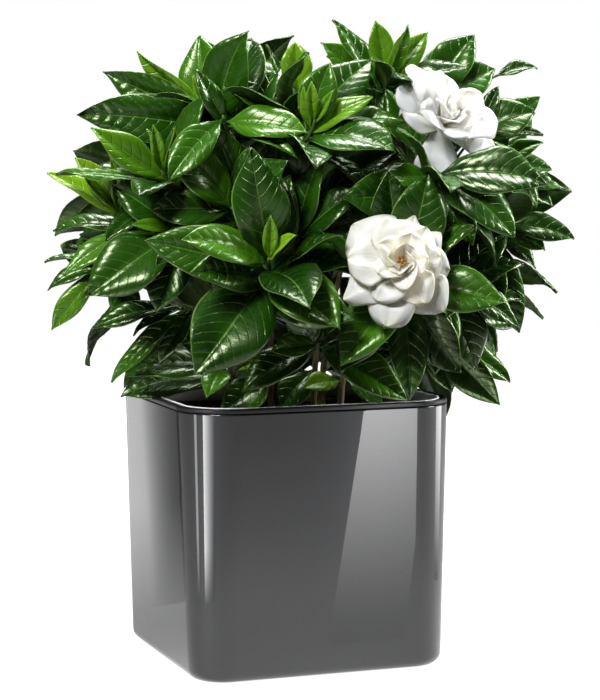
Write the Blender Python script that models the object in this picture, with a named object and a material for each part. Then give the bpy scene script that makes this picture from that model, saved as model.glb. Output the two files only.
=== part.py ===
"""A gardenia in flower in a square planter with a liner, at its real size.

The planter stands on the floor at the origin, +Z up, with its faces along the axes.
Sizes are in centimetres up to the moment a mesh is made. The plant is laid out in a frame
of its own, turned about +Z: +X is its right, -Y its front, and every leaf, petal and stem
is placed there.
"""

import math
import random

import bpy
from mathutils import Matrix, Vector
from mathutils.bvhtree import BVHTree

CM = 0.01
GAP = 0.03  # between pieces that rest on each other

# Planter and liner
POT_HEIGHT = 16.0
POT_TOP_HALF = 8.4
POT_BASE_HALF = 7.9
TOP_CORNER = 3.3
BASE_CORNER = 2.2
BASE_EDGE = 0.65
WALL = 0.35
FLOOR = 0.5
RIM_BAND = 0.5
RIM_WIDTH = 0.62
RIM_EDGE = 0.07
RIM_SKIRT = 1.2  # how far the liner's upright top reaches below its rim
LINER_WALL = 0.2
LINER_BASE = FLOOR + 1.0  # the height of its underside, on its feet
LINER_BASE_HALF = 6.6
LINER_BASE_CORNER = 1.6
FOOT_RADIUS = 0.8
FOOT_PLACE = 4.6
DRAIN_RADIUS = 0.4
DRAIN_PLACE = 2.4
POST_SIDES = 8
OVERLAP = 0.12  # of two bodies that are joined
SOIL_GAP = 0.05
SOIL_LEVEL = 14.6
SOIL_RELIEF = 0.2
SOIL_LEVEL_RADIUS = 4.7
SOIL_RINGS = (1.0, 0.82, 0.62, 0.42, 0.22)
CORNER_STEPS = 6
EDGE_STEPS = 3

# Plant frame
PLANT_TURN = -20.0
CROWN_CORE = Vector((1.5, 0.0, 22.5))
VIEWER = Vector((0.0, -1.0, 0.0))
UP = Vector((0.0, 0.0, 1.0))
KEEP_OUT_HALF = POT_TOP_HALF + 0.25
KEEP_OUT_TOP = POT_HEIGHT + 0.25

# Woody stems: foot on the soil (x, y) and top (x, y, z)
STEM_FOOT_RADIUS = 0.2
STEM_TOP_RADIUS = 0.12
STEM_UPRIGHT = 0.4  # shares of its rise and spread that shape its curve
STEM_SPREAD = 0.55
STEM_BEND = 0.72
STEM_SIDES = 6
STEM_SPANS = 8
STEMS = [
    ((-3.0, -0.9), (-7.8, -2.4, 30.4)),
    ((-0.7, -1.3), (-0.8, -4.6, 32.0)),
    ((1.9, 0.3), (5.6, -1.2, 34.0)),
    ((3.5, -0.9), (10.8, -1.8, 29.6)),
    ((-0.5, 2.1), (-4.0, 6.0, 30.6)),
    ((2.4, 2.4), (6.4, 6.2, 31.0)),
]

# Twigs
TWIG_BASE_RADIUS = 0.1
TWIG_TIP_RADIUS = 0.075
TWIG_SIDES = 4
TWIG_SPANS = 4
TWIG_GAP = 0.05
TWIG_LEAST = 2.0
TWIG_PULL = 0.38  # of its length, straight out of the stem and straight to its end
FLAT_COST = 1.2  # for a twig that rises less than FLAT_RISE of its length
FLAT_RISE = 0.35
SLOPE_STEP = 0.02
SITE_SHARES = [0.12 + 0.035 * i for i in range(25)]
FIRST_LEAF_BACK = 0.18
LEAF_STEP_BACK = 0.3
LEAFY_SHARE = 0.8  # of a twig, counted back from its end

# Leaves
LEAF_THICK = 0.1
LEAF_STATIONS = (0.0, 0.3, 0.64)
PETIOLE_HALF = 0.05
YOUNG_ARCH = 12
OLD_ARCH = 38
YOUNG_FOLD = 30
OLD_FOLD = 14
GUARD_STATIONS = (0.06, 0.3, 0.64, 0.84)
OUTER_STATIONS = (0.26, 0.64, 0.84)
GUARD_THICK = 0.26
GUARD_MARGIN = 0.06
TUBE_GUARD = 0.09

# Flowers, measured along their axis from the end of the twig
TUBE_PROFILE = ((GAP, 0.1), (0.25, 0.26), (0.8, 0.24), (1.5, 0.17), (1.95, 0.3))
HUB_HEIGHT = 0.26
PETAL_THICK = 0.09
PETAL_STAGGER = 3  # degrees more rise on every second petal
PETAL_SEAT = 0.65  # of the hub's radius
PETAL_STATIONS = (0.0, 0.25, 0.6, 0.88)
# name, hub radius, count, length, width, rise from the flower's face, arch, fold, turn, roll
WHORLS = [
    ("outer_petals", 0.3, 7, 3.05, 2.7, 2, 44, 3, 0, 11),
    ("middle_petals", 0.3, 6, 2.45, 2.4, 24, 34, 9, 24, 10),
    ("inner_petals", 0.28, 5, 1.75, 1.8, 47, 10, 18, 40, 10),
    ("heart_petals", 0.22, 4, 1.05, 0.9, 74, -6, 20, 10, 8),
]
STAMENS = 6
STAMEN_LENGTH = 0.62
STAMEN_RADIUS = 0.055
STAMEN_LEAN = 0.2
STAMEN_FOOT = 0.12
PILLAR_PROFILE = ((0.0, 0.09), (0.3, 0.09), (0.55, 0.06))

# Shoots with a place of their own: the twig's end (x, y, z), the way it points, and its
# leaves from the end backwards. A leaf is (clock, lean, length, width, face, age): clock
# in degrees as seen from the front, 0 up and 90 right; lean in degrees towards the front;
# face from 0, upper side up, to 90, upper side to the front; age 0 young, 1 old.
SHOOTS = {
    "flower_front": ((7.0, -10.1, 23.6), (-0.1, -0.95, 0.28), [
        (12, 5, 6.0, 3.0, 70, 0.9), (104, 15, 5.9, 2.8, 60, 0.7), (217, 20, 6.5, 3.0, 65, 0.6),
        (178, 5, 7.0, 2.2, 60, 0.9), (150, 0, 6.3, 2.8, 60, 1.0), (298, -5, 5.6, 2.6, 50, 1.0)]),
    "flower_top": ((8.2, -5.1, 30.6), (0.42, -0.66, 0.62), [
        (250, 15, 4.4, 2.0, 60, 0.9), (70, -10, 4.6, 2.2, 40, 1.0), (330, -15, 4.4, 2.2, 50, 1.0),
        (160, -5, 4.0, 2.0, 60, 1.0)]),
    "front": ((-0.7, -11.0, 24.6), (-0.05, -0.9, 0.4), [
        (3, 25, 2.7, 0.9, 70, 0.0), (48, 35, 2.5, 1.3, 50, 0.1), (284, 32, 5.7, 2.5, 55, 0.6),
        (351, 8, 6.3, 3.2, 75, 0.9), (133, 28, 6.1, 3.6, 60, 0.5), (279, 8, 7.0, 3.0, 75, 0.8),
        (213, 18, 7.8, 4.3, 65, 0.9)]),
    "centre": ((1.0, -8.4, 25.6), (0.4, -0.7, 0.5), [
        (50, 15, 4.6, 2.2, 45, 0.8), (15, -5, 5.0, 2.4, 60, 1.0), (102, 0, 4.8, 2.2, 60, 1.0),
        (165, 5, 5.2, 2.6, 60, 1.0)]),
    "centre_left": ((-2.9, -8.2, 27.4), (-0.5, -0.7, 0.5), [
        (314, 12, 4.9, 2.7, 60, 0.5), (268, 0, 4.6, 2.2, 60, 1.0), (30, -5, 4.8, 2.2, 60, 1.0),
        (225, 0, 4.6, 2.2, 50, 1.0)]),
    "upper_inner": ((2.6, -6.2, 28.4), (0.2, -0.7, 0.7), [
        (300, 5, 5.0, 2.4, 50, 1.0), (62, 5, 4.8, 2.4, 50, 1.0), (122, 10, 5.0, 2.4, 60, 1.0),
        (235, 10, 4.8, 2.4, 60, 1.0)]),
    "arch": ((-3.3, -8.6, 32.6), (-0.1, -0.6, 0.8), [
        (219, 22, 5.1, 2.1, 55, 0.5), (101, 15, 5.0, 2.5, 55, 0.5), (119, 22, 5.2, 1.4, 25, 0.5),
        (330, 0, 3.0, 1.3, 50, 0.9)]),
    "upper_centre": ((1.9, -7.8, 32.4), (0.1, -0.5, 0.85), [
        (355, 22, 2.3, 0.8, 70, 0.0), (22, 18, 2.0, 0.7, 70, 0.1), (332, 18, 2.0, 0.7, 70, 0.1),
        (8, 2, 3.3, 2.3, 75, 0.5), (62, 10, 3.4, 1.8, 40, 0.3), (112, 28, 5.5, 3.7, 55, 1.0)]),
    "top_left": ((-4.6, -4.4, 33.2), (-0.2, -0.3, 0.9), [
        (8, 18, 2.8, 0.9, 70, 0.0), (342, 20, 2.0, 0.6, 70, 0.1), (68, 15, 3.6, 1.5, 50, 0.8),
        (350, -5, 4.2, 2.8, 75, 0.5), (31, 5, 5.5, 3.1, 55, 0.8), (318, 0, 5.0, 1.6, 80, 0.2),
        (289, 0, 6.2, 2.2, 60, 0.8), (266, 12, 7.4, 2.8, 50, 1.0)]),
    "left_top": ((-6.9, -7.3, 29.5), (-0.5, -0.5, 0.7), [
        (352, 25, 2.9, 0.9, 70, 0.0), (12, 24, 2.9, 1.1, 70, 0.1), (334, 22, 2.5, 0.7, 70, 0.2),
        (302, 10, 4.7, 2.1, 60, 0.4), (268, 5, 6.0, 1.5, 35, 0.6), (150, 15, 3.6, 1.8, 60, 1.0)]),
    "far_left": ((-9.6, -5.8, 26.9), (-0.8, -0.4, 0.4), [
        (350, 22, 3.4, 0.9, 70, 0.2), (6, 16, 3.0, 0.8, 70, 0.3), (331, 15, 4.1, 1.7, 65, 0.1),
        (302, 8, 4.7, 2.1, 65, 0.1), (222, 10, 4.7, 1.6, 45, 0.5), (200, 5, 3.6, 1.6, 55, 0.9)]),
    "left_mid": ((-6.2, -7.4, 26.0), (-0.6, -0.7, 0.2), [
        (280, 25, 2.6, 0.9, 50, 0.3), (233, 15, 6.2, 3.5, 55, 0.9), (325, 0, 4.4, 2.0, 60, 1.0),
        (192, 12, 4.8, 2.4, 60, 1.0)]),
    "left_hang": ((-10.5, -4.4, 23.8), (-0.9, -0.3, 0.0), [
        (220, 5, 4.8, 1.6, 50, 0.4), (248, 0, 3.6, 1.3, 50, 0.9), (275, -8, 3.6, 1.6, 45, 1.0),
        (160, 5, 3.6, 1.8, 60, 1.0)]),
    "left_low": ((-6.1, -5.0, 21.6), (-0.8, -0.5, 0.0), [
        (255, 5, 5.3, 1.6, 40, 0.8), (236, 10, 3.2, 1.0, 40, 0.9), (221, 5, 6.0, 1.5, 35, 0.6),
        (198, 5, 3.6, 1.3, 60, 0.9), (130, 5, 3.6, 1.8, 60, 0.7)]),
    "soil_left": ((-3.8, -3.4, 17.9), (-0.8, -0.5, 0.3), [
        (264, 5, 5.6, 3.0, 35, 0.9), (190, 45, 3.6, 1.7, 40, 0.7), (310, 0, 3.4, 1.6, 50, 0.9)]),
    "low_front": ((2.1, -7.8, 19.6), (0.0, -0.9, 0.2), [
        (262, 20, 2.9, 1.7, 55, 0.3), (122, 12, 6.1, 2.6, 50, 0.5), (238, 8, 5.2, 2.4, 45, 0.8),
        (325, 12, 3.2, 2.0, 60, 0.9), (60, 10, 3.4, 1.8, 50, 0.9)]),
    "top_mid": ((1.0, -2.2, 34.2), (0.0, -0.1, 1.0), [
        (355, 0, 2.9, 2.0, 70, 0.3), (284, 0, 3.8, 1.9, 45, 1.0), (68, 0, 3.8, 2.2, 45, 1.0),
        (318, -5, 3.4, 0.9, 40, 0.9), (190, 35, 3.6, 1.9, 40, 1.0)]),
    "top_right_centre": ((6.1, -3.2, 34.8), (0.1, -0.2, 1.0), [
        (350, 5, 3.5, 1.7, 75, 0.3), (9, 5, 3.6, 1.2, 75, 0.3), (35, 5, 3.7, 1.7, 60, 0.3),
        (318, 5, 4.7, 1.6, 40, 0.9), (300, 0, 4.4, 1.9, 55, 0.6), (262, 10, 3.2, 1.9, 45, 1.0)]),
    "top_right": ((8.9, -1.4, 34.0), (0.3, 0.0, 0.9), [
        (36, 0, 4.4, 2.5, 60, 1.0), (62, 8, 4.1, 2.8, 60, 1.0), (10, -15, 3.4, 1.8, 60, 0.8)]),
    "sprig": ((13.0, -0.4, 35.2), (0.8, 0.0, 0.35), [(80, 0, 2.4, 1.1, 50, 0.9)]),
    "right_up": ((11.9, -2.8, 32.0), (0.6, -0.2, 0.6), [
        (74, 10, 3.2, 2.5, 65, 1.0), (56, 0, 3.9, 1.6, 55, 0.7), (96, 5, 3.6, 1.5, 55, 0.8),
        (20, 0, 2.6, 1.3, 60, 1.0)]),
    "right_mid": ((13.2, -2.2, 30.0), (0.9, -0.1, 0.3), [
        (64, 5, 2.6, 1.2, 60, 0.5), (93, 5, 2.9, 2.0, 45, 0.9), (108, 5, 4.1, 1.6, 45, 0.9),
        (132, 5, 4.0, 2.1, 45, 0.9)]),
    "right_big": ((8.9, -8.8, 29.4), (0.5, -0.7, 0.4), [
        (96, 12, 6.2, 3.1, 60, 1.0), (131, 18, 5.8, 3.0, 45, 0.9), (264, 12, 3.4, 2.0, 50, 0.6),
        (155, 12, 4.6, 2.0, 50, 0.9)]),
    "right_low": ((13.0, -3.8, 26.2), (0.9, -0.3, -0.1), [
        (100, 5, 4.3, 1.9, 50, 0.9), (119, 8, 2.9, 1.9, 50, 0.6), (141, 5, 3.2, 1.5, 50, 0.9),
        (171, 8, 6.4, 2.3, 60, 1.0)]),
    "right_under": ((9.8, -7.2, 22.8), (0.6, -0.6, -0.1), [
        (121, 0, 4.6, 1.8, 45, 1.0), (164, 5, 5.0, 2.5, 60, 1.0), (72, -5, 4.4, 2.2, 50, 1.0)]),
    "low_right": ((9.4, -5.6, 19.8), (0.7, -0.4, -0.1), [
        (124, 0, 4.8, 1.8, 45, 0.5), (139, 10, 5.3, 2.2, 55, 0.7), (170, 8, 3.3, 1.9, 55, 0.9)]),
}

# Shoots that follow a rule: height of the ring, its radius, how many, first bearing and
# step in degrees, 0 at the right and 90 at the back
RING_SHOOTS = [
    (19.6, 8.4, 3, 44, 48),
    (24.0, 11.6, 4, 8, 50),
    (28.6, 11.0, 4, 32, 42),
    (33.0, 7.4, 2, 60, 62),
]
RING_SEED = 11
# tilt from the twig's own direction, length, width and age of a ring shoot's leaves
RING_LEAVES = [
    (16, 2.5, 0.9, 0.0), (44, 5.2, 2.6, 0.5), (56, 6.2, 3.1, 0.8), (66, 7.0, 3.4, 1.0),
    (78, 7.4, 3.6, 1.0), (90, 7.2, 3.5, 1.0), (104, 5.6, 2.9, 1.0),
]
# and of the leaves that fill in behind the others, with the shoots that have none
FILL_LEAVES = [(74, 5.8, 2.9, 1.0), (94, 6.0, 3.0, 1.0)]
OPEN_SHOOTS = (
    "left_low", "soil_left", "low_front", "sprig", "low_right", "right_up", "top_right", "arch")
GOLDEN_TURN = 137.5


# Meshes -------------------------------------------------------------------------------


def loft(rings, tip=None):
    """Points and triangles of a closed skin over rings that turn anticlockwise about the
    way the loft runs. It ends in a flat cap or, where tip is given, in that point."""
    count = len(rings[0])
    points = [point for ring in rings for point in ring]
    faces = [tuple(reversed(range(count)))]
    for start in range(0, (len(rings) - 1) * count, count):
        for i in range(count):
            a, b = start + i, start + (i + 1) % count
            faces += [(a, b, b + count), (a, b + count, a + count)]
    last = len(points) - count
    if tip is None:
        faces.append(tuple(range(last, last + count)))
    else:
        points.append(tip)
        faces += [(last + i, last + (i + 1) % count, len(points) - 1) for i in range(count)]
    return points, faces


def rounded_square(half, corner, height):
    """A level ring of points, anticlockwise from above."""
    points = []
    for quarter in range(4):
        middle = math.radians(45 + 90 * quarter)
        x = math.copysign(half - corner, math.cos(middle))
        y = math.copysign(half - corner, math.sin(middle))
        for step in range(CORNER_STEPS + 1):
            angle = math.radians(90 * (quarter + step / CORNER_STEPS))
            points.append(Vector((x + corner * math.cos(angle), y + corner * math.sin(angle), height)))
    return points


def tube(path, radii, sides):
    """A tube along a path, square to it at both ends."""
    rings = []
    side = None
    for i, centre in enumerate(path):
        before, after = path[max(i - 1, 0)], path[min(i + 1, len(path) - 1)]
        along = (after - before).normalized()
        if side is None:
            side = along.orthogonal().normalized()
        side = (side - along * side.dot(along)).normalized()
        other = along.cross(side)
        angles = [2 * math.pi * k / sides for k in range(sides)]
        rings.append([centre + radii[i] * (side * math.cos(a) + other * math.sin(a)) for a in angles])
    return loft(rings)


def turned(profile, sides, base, axis):
    """A body turned about an axis from (distance along it, radius) pairs."""
    return tube([base + axis * along for along, _ in profile], [radius for _, radius in profile], sides)


def curve(p0, p1, p2, p3, share):
    """A point of a cubic Bezier curve."""
    rest = 1 - share
    return p0 * rest**3 + p1 * 3 * rest**2 * share + p2 * 3 * rest * share**2 + p3 * share**3


# Blades: leaves and petals ------------------------------------------------------------


def leaf_outline(share):
    """Half width of a leaf, as a share of its widest, along its length."""
    return math.sin(math.pi * share**1.1) ** 0.85


def petal_outline(share):
    """Half width of a petal: narrow at the base, widest past the middle, round ended."""
    return min(1.0, 0.28 + 1.25 * share) * (1 - share**5) ** 0.5 * (1 - 0.12 * share)


def blade(base, tip, upper, width, arch, fold, outline, stations, thick):
    """A thin blade from base to tip. upper is roughly its upper side, arch bends it back in
    degrees and fold lifts each half from the midrib in degrees."""
    chord = tip - base
    along = chord.normalized()
    normal = (upper - along * upper.dot(along)).normalized()
    side = along.cross(normal)
    bow = chord.length * math.radians(arch) / 8
    rings = []
    for share in stations:
        middle = base + chord * share + normal * (4 * bow * share * (1 - share))
        half = max(width / 2 * outline(share), PETIOLE_HALF) if share > 0 else PETIOLE_HALF
        out = side * (half * math.cos(math.radians(fold)))
        lift = normal * (half * math.sin(math.radians(fold)))
        body = normal * (thick / 2)
        rings.append([middle + body, middle + out + lift, middle - body, middle - out + lift])
    return loft(rings, tip)


def leaf_guard(leaf, stations):
    """The space a leaf needs round itself, as a fatter and wider blade."""
    base, tip, upper, width, arch, fold, _ = leaf
    spread = width + 2 * GUARD_MARGIN
    return blade(base, tip, upper, spread, arch, fold, leaf_outline, stations, GUARD_THICK)


# Room: what already stands where ---------------------------------------------------------


class Room:
    """The pieces placed so far. A piece has an owner, a whole guard, and an outer guard
    that leaves out the part near its own twig."""

    def __init__(self):
        self.pieces = []

    def add(self, owner, whole, outer=None):
        self.pieces.append((owner, solid_guard(whole), solid_guard(outer or whole)))

    def free(self, owner, whole, outer):
        """True where a piece of that owner touches nothing."""
        whole_box, whole_tree = solid_guard(whole)
        outer_box, outer_tree = solid_guard(outer)
        for other, (far_box, far_tree), (near_box, near_tree) in self.pieces:
            if other == owner:
                if boxes_meet(outer_box, near_box) and outer_tree.overlap(near_tree):
                    return False
            elif boxes_meet(whole_box, far_box) and whole_tree.overlap(far_tree):
                return False
        return True


def solid_guard(mesh):
    points, faces = mesh
    low = tuple(min(p[i] for p in points) for i in range(3))
    high = tuple(max(p[i] for p in points) for i in range(3))
    return (low, high), BVHTree.FromPolygons(points, faces)


def boxes_meet(a, b):
    return all(a[0][i] <= b[1][i] and b[0][i] <= a[1][i] for i in range(3))


def clears_planter(points):
    """True where no point is in the planter or just above its rim."""
    turn = Matrix.Rotation(math.radians(PLANT_TURN), 3, "Z")
    for point in points:
        if point.z < KEEP_OUT_TOP:
            world = turn @ point
            if abs(world.x) < KEEP_OUT_HALF and abs(world.y) < KEEP_OUT_HALF:
                return False
    return True


# Laying out the plant -----------------------------------------------------------------


def stem_route(foot, top):
    """The four control points of a woody stem."""
    start = Vector((foot[0], foot[1], SOIL_LEVEL + GAP))
    end = Vector(top)
    rise = end.z - start.z
    low = start + UP * (STEM_UPRIGHT * rise)
    high = start.lerp(end, STEM_SPREAD)
    high.z = start.z + STEM_BEND * rise
    return start, low, high, end


def stem_radius(share):
    return STEM_FOOT_RADIUS + (STEM_TOP_RADIUS - STEM_FOOT_RADIUS) * share


def stem_body(route, extra=0.0):
    shares = [i / STEM_SPANS for i in range(STEM_SPANS + 1)]
    path = [curve(*route, share) for share in shares]
    return tube(path, [stem_radius(share) + extra for share in shares], STEM_SIDES)


def twig_sites(routes, end):
    """Where a twig could leave a stem, the shortest and most upright reach first."""
    sites = []
    for number, route in enumerate(routes):
        for share in SITE_SHARES:
            at = curve(*route, share)
            before, after = curve(*route, share - SLOPE_STEP), curve(*route, share + SLOPE_STEP)
            along = (after - before).normalized()
            reach = end - at
            if at.z < KEEP_OUT_TOP:
                continue
            out = (reach - along * reach.dot(along)).normalized()
            start = at + out * (stem_radius(share) + TWIG_GAP)
            cost = reach.length + FLAT_COST * max(0.0, FLAT_RISE * reach.length - reach.z)
            sites.append((cost, number, share, start, out))
    return sorted(sites, key=lambda site: site[:3])


def twig_path(start, out, end, way):
    pull = TWIG_PULL * (end - start).length
    points = (start, start + out * pull, end - way * pull, end)
    return [curve(*points, i / TWIG_SPANS) for i in range(TWIG_SPANS + 1)]


def twig_body(path, extra=0.0):
    count = len(path) - 1
    step = (TWIG_TIP_RADIUS - TWIG_BASE_RADIUS) / count
    radii = [TWIG_BASE_RADIUS + step * i + extra for i in range(len(path))]
    return tube(path, radii, TWIG_SIDES)


def place_twig(room, routes, name, end, way):
    """The first route from a stem to the twig's end that crosses nothing."""
    for _, number, _, start, out in twig_sites(routes, end):
        path = twig_path(start, out, end, way)
        if (path[-1] - path[0]).length < TWIG_LEAST:
            continue
        guard = twig_body(path, TUBE_GUARD)
        beyond = twig_body([path[0].lerp(path[1], 0.55)] + path[1:], TUBE_GUARD)
        if room.free("stem_%d" % number, guard, beyond):
            room.add(name, guard)
            return path
    raise ValueError("no free route for " + name)


def point_back(path, distance):
    """The point of a path that far back from its end."""
    for i in range(len(path) - 1, 0, -1):
        span = (path[i] - path[i - 1]).length
        if distance <= span:
            return path[i].lerp(path[i - 1], distance / span)
        distance -= span
    return path[0].copy()


def clock_way(clock, lean):
    clock, lean = math.radians(clock), math.radians(lean)
    return Vector((
        math.sin(clock) * math.cos(lean), -math.sin(lean), math.cos(clock) * math.cos(lean)))


def nudges():
    """Small changes of a leaf, the slightest first: (share of its length, tilt, side, roll)."""
    for share in (1.0, 0.88, 0.76):
        for tilt in (0, 8, 16, 24):
            for side in range(8 if tilt else 1):
                for roll in (0, 18, -18, 36, -36):
                    yield share, tilt, side * 45, roll


NUDGES = list(nudges())


def nudged(leaf, share, tilt, side, roll):
    """The leaf made shorter, tilted towards a side and rolled about its own length."""
    base, tip, upper, width, arch, fold, age = leaf
    chord = (tip - base) * share
    along = chord.normalized()
    across = along.orthogonal().normalized()
    hinge = Matrix.Rotation(math.radians(side), 3, along) @ across
    chord = Matrix.Rotation(math.radians(tilt), 3, hinge) @ chord
    upper = Matrix.Rotation(math.radians(roll), 3, along) @ upper
    return base, base + chord, upper, width * share, arch, fold, age


def place_leaf(room, owner, leaf):
    """The leaf, nudged until it touches nothing, or None."""
    for change in NUDGES:
        tried = nudged(leaf, *change)
        whole = leaf_guard(tried, GUARD_STATIONS)
        if not clears_planter(whole[0]):
            continue
        outer = leaf_guard(tried, OUTER_STATIONS)
        if room.free(owner, whole, outer):
            room.add(owner, whole, outer)
            return tried
    return None


def place_leaves(room, owner, wanted):
    placed = [place_leaf(room, owner, leaf) for leaf in wanted]
    return [leaf for leaf in placed if leaf]


def leaf_wanted(path, number, end, way, length, width, upper, age, draw):
    """A leaf as it would grow with nothing in its way: a young one is straight and folded,
    an old one arches back and lies open."""
    leafy = LEAFY_SHARE * sum((b - a).length for a, b in zip(path, path[1:]))
    base = point_back(path, FIRST_LEAF_BACK + LEAF_STEP_BACK * number % leafy)
    arch = YOUNG_ARCH + (OLD_ARCH - YOUNG_ARCH) * age + draw.uniform(-6, 12)
    fold = YOUNG_FOLD + (OLD_FOLD - YOUNG_FOLD) * age + draw.uniform(-4, 6)
    return base, end + way * length, upper, width, arch, fold, age


def own_leaves(path, end, leaves, draw):
    for number, (clock, lean, length, width, face, age) in enumerate(leaves):
        face = math.radians(face)
        upper = UP * math.cos(face) + VIEWER * math.sin(face)
        yield leaf_wanted(path, number, end, clock_way(clock, lean), length, width, upper, age, draw)


def whorled_leaves(path, end, way, leaves, first, draw):
    """Leaves set round a twig by the golden turn, from its end backwards."""
    across = way.orthogonal().normalized()
    outward = Vector((way.x, way.y, 0.0)).normalized()
    upper = UP * 0.8 + outward * 0.6
    start = draw.uniform(0, 360)
    for number, (tilt, length, width, age) in enumerate(leaves):
        turn = Matrix.Rotation(math.radians(start + GOLDEN_TURN * number), 3, way)
        leaf_way = Matrix.Rotation(math.radians(tilt), 3, turn @ across) @ way
        size = draw.uniform(0.85, 1.1)
        yield leaf_wanted(
            path, first + number, end, leaf_way, length * size, width * size, upper, age, draw)


def ring_shoots(draw):
    """Name, end and way of each shoot that follows the ring rule."""
    for ring, (height, radius, count, first, step) in enumerate(RING_SHOOTS):
        for i in range(count):
            bearing = math.radians(first + step * i + draw.uniform(-6, 6))
            far = radius * draw.uniform(0.92, 1.06)
            out = Vector((math.cos(bearing), math.sin(bearing), 0.0))
            end = Vector((CROWN_CORE.x, CROWN_CORE.y, height + draw.uniform(-0.8, 0.8))) + out * far
            way = (end - CROWN_CORE).normalized() + UP * 0.35
            yield "back_%d_%d" % (ring + 1, i + 1), end, way.normalized()


def flower_whorls(end, axis):
    """Each whorl of a flower as (name, distance of its hub along the axis, hub radius,
    petals)."""
    across = axis.cross(UP).normalized()
    start = TUBE_PROFILE[-1][0] + GAP
    for number, whorl in enumerate(WHORLS):
        name, hub, count, length, width, rise, arch, fold, first, roll = whorl
        foot = start + number * (HUB_HEIGHT + GAP)
        centre = end + axis * (foot + HUB_HEIGHT / 2)
        petals = []
        for i in range(count):
            spin = Matrix.Rotation(math.radians(first + 360 * i / count), 3, axis)
            radial = spin @ across
            lift = math.radians(rise + (PETAL_STAGGER if i % 2 else 0))
            way = radial * math.cos(lift) + axis * math.sin(lift)
            upper = axis * math.cos(lift) - radial * math.sin(lift)
            upper = Matrix.Rotation(math.radians(roll), 3, way) @ upper
            base = centre + radial * (PETAL_SEAT * hub)
            petals.append((base, base + way * length, upper, width, arch, fold, 0.0))
        yield name, foot, hub, petals


def petal_body(petal, thick):
    base, tip, upper, width, arch, fold, _ = petal
    return blade(base, tip, upper, width, arch, fold, petal_outline, PETAL_STATIONS, thick)


def lay_out_plant():
    """Every stem, twig, leaf and flower of the plant, in the plant's own frame."""
    room = Room()
    routes = [stem_route(foot, top) for foot, top in STEMS]
    for number, route in enumerate(routes):
        room.add("stem_%d" % number, stem_body(route, TUBE_GUARD))
    flowers = {}
    for name in ("flower_front", "flower_top"):
        end, axis = Vector(SHOOTS[name][0]), Vector(SHOOTS[name][1]).normalized()
        flowers[name] = (end, axis)
        room.add(name + "_tube", turned(TUBE_PROFILE, 8, end, axis))
        for _, _, _, petals in flower_whorls(end, axis):
            for petal in petals:
                room.add(name + "_petals", petal_body(petal, GUARD_THICK))
    twigs = {}
    for name, (end, way, _) in SHOOTS.items():
        way = Vector(way).normalized()
        twigs[name] = place_twig(room, routes, name, Vector(end), way), Vector(end), way
    draw = random.Random(RING_SEED)
    for name, end, way in ring_shoots(draw):
        twigs[name] = place_twig(room, routes, name, end, way), end, way
    shoots = {name: (path, []) for name, (path, _, _) in twigs.items()}
    for name, (path, end, way) in twigs.items():
        if name in SHOOTS:
            wanted = own_leaves(path, end, SHOOTS[name][2], draw)
        else:
            wanted = whorled_leaves(path, end, way, RING_LEAVES, 0, draw)
        shoots[name][1].extend(place_leaves(room, name, wanted))
    for name, (path, end, way) in twigs.items():
        if name in OPEN_SHOOTS:
            continue
        count = len(shoots[name][1])
        wanted = whorled_leaves(path, end, way, FILL_LEAVES, count, draw)
        shoots[name][1].extend(place_leaves(room, name, wanted))
    return routes, shoots, flowers


# Objects ------------------------------------------------------------------------------


def clear_scene():
    for obj in list(bpy.data.objects):
        bpy.data.objects.remove(obj)


def material(name, colour, roughness, metallic=0.0):
    made = bpy.data.materials.new(name)
    made.use_nodes = True
    shader = made.node_tree.nodes["Principled BSDF"]
    shader.inputs["Base Color"].default_value = (*colour, 1.0)
    shader.inputs["Roughness"].default_value = roughness
    shader.inputs["Metallic"].default_value = metallic
    return made


def add_object(name, mesh, finish, parent=None, collection=None):
    points, faces = mesh
    data = bpy.data.meshes.new(name)
    data.from_pydata([point * CM for point in points], [], faces)
    data.materials.append(finish)
    data.shade_smooth()
    obj = bpy.data.objects.new(name, data)
    (collection or bpy.context.scene.collection).objects.link(obj)
    obj.parent = parent
    return obj


def add_helpers(name, meshes, finish, parent):
    """A collection of hidden bodies for a Boolean to join or cut."""
    helpers = bpy.data.collections.new(name)
    bpy.context.scene.collection.children.link(helpers)
    for i, mesh in enumerate(meshes):
        helper = add_object("%s_%d" % (name, i), mesh, finish, parent, helpers)
        helper.hide_render = True
        helper.display_type = "WIRE"
    return helpers


def combine(obj, operation, meshes, finish, parent=None):
    """Joins bodies to an object, or cuts them from it."""
    change = obj.modifiers.new(operation.lower(), "BOOLEAN")
    change.operation = operation
    change.solver = "EXACT"
    change.operand_type = "COLLECTION"
    change.collection = add_helpers(obj.name + "_" + operation.lower(), meshes, finish, parent)


def wall_corner(share):
    """Corner radius of the planter's outside at a share of its height."""
    return BASE_CORNER + (TOP_CORNER - BASE_CORNER) * share


def wall_half(height):
    """Half width of the planter's outside at a height."""
    return POT_BASE_HALF + (POT_TOP_HALF - POT_BASE_HALF) * height / POT_HEIGHT


def planter_body():
    top = POT_HEIGHT - RIM_BAND - GAP
    rings = []
    for step in range(EDGE_STEPS + 1):
        angle = math.radians(90 * step / EDGE_STEPS)
        inset = BASE_EDGE * (1 - math.sin(angle))
        rings.append(rounded_square(
            POT_BASE_HALF - inset, BASE_CORNER - inset, BASE_EDGE * (1 - math.cos(angle))))
    for height, inset in ((top, 0.0), (top, WALL), (FLOOR, WALL)):
        corner = wall_corner(height / POT_HEIGHT)
        rings.append(rounded_square(wall_half(height) - inset, corner - inset, height))
    return loft(rings)


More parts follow.
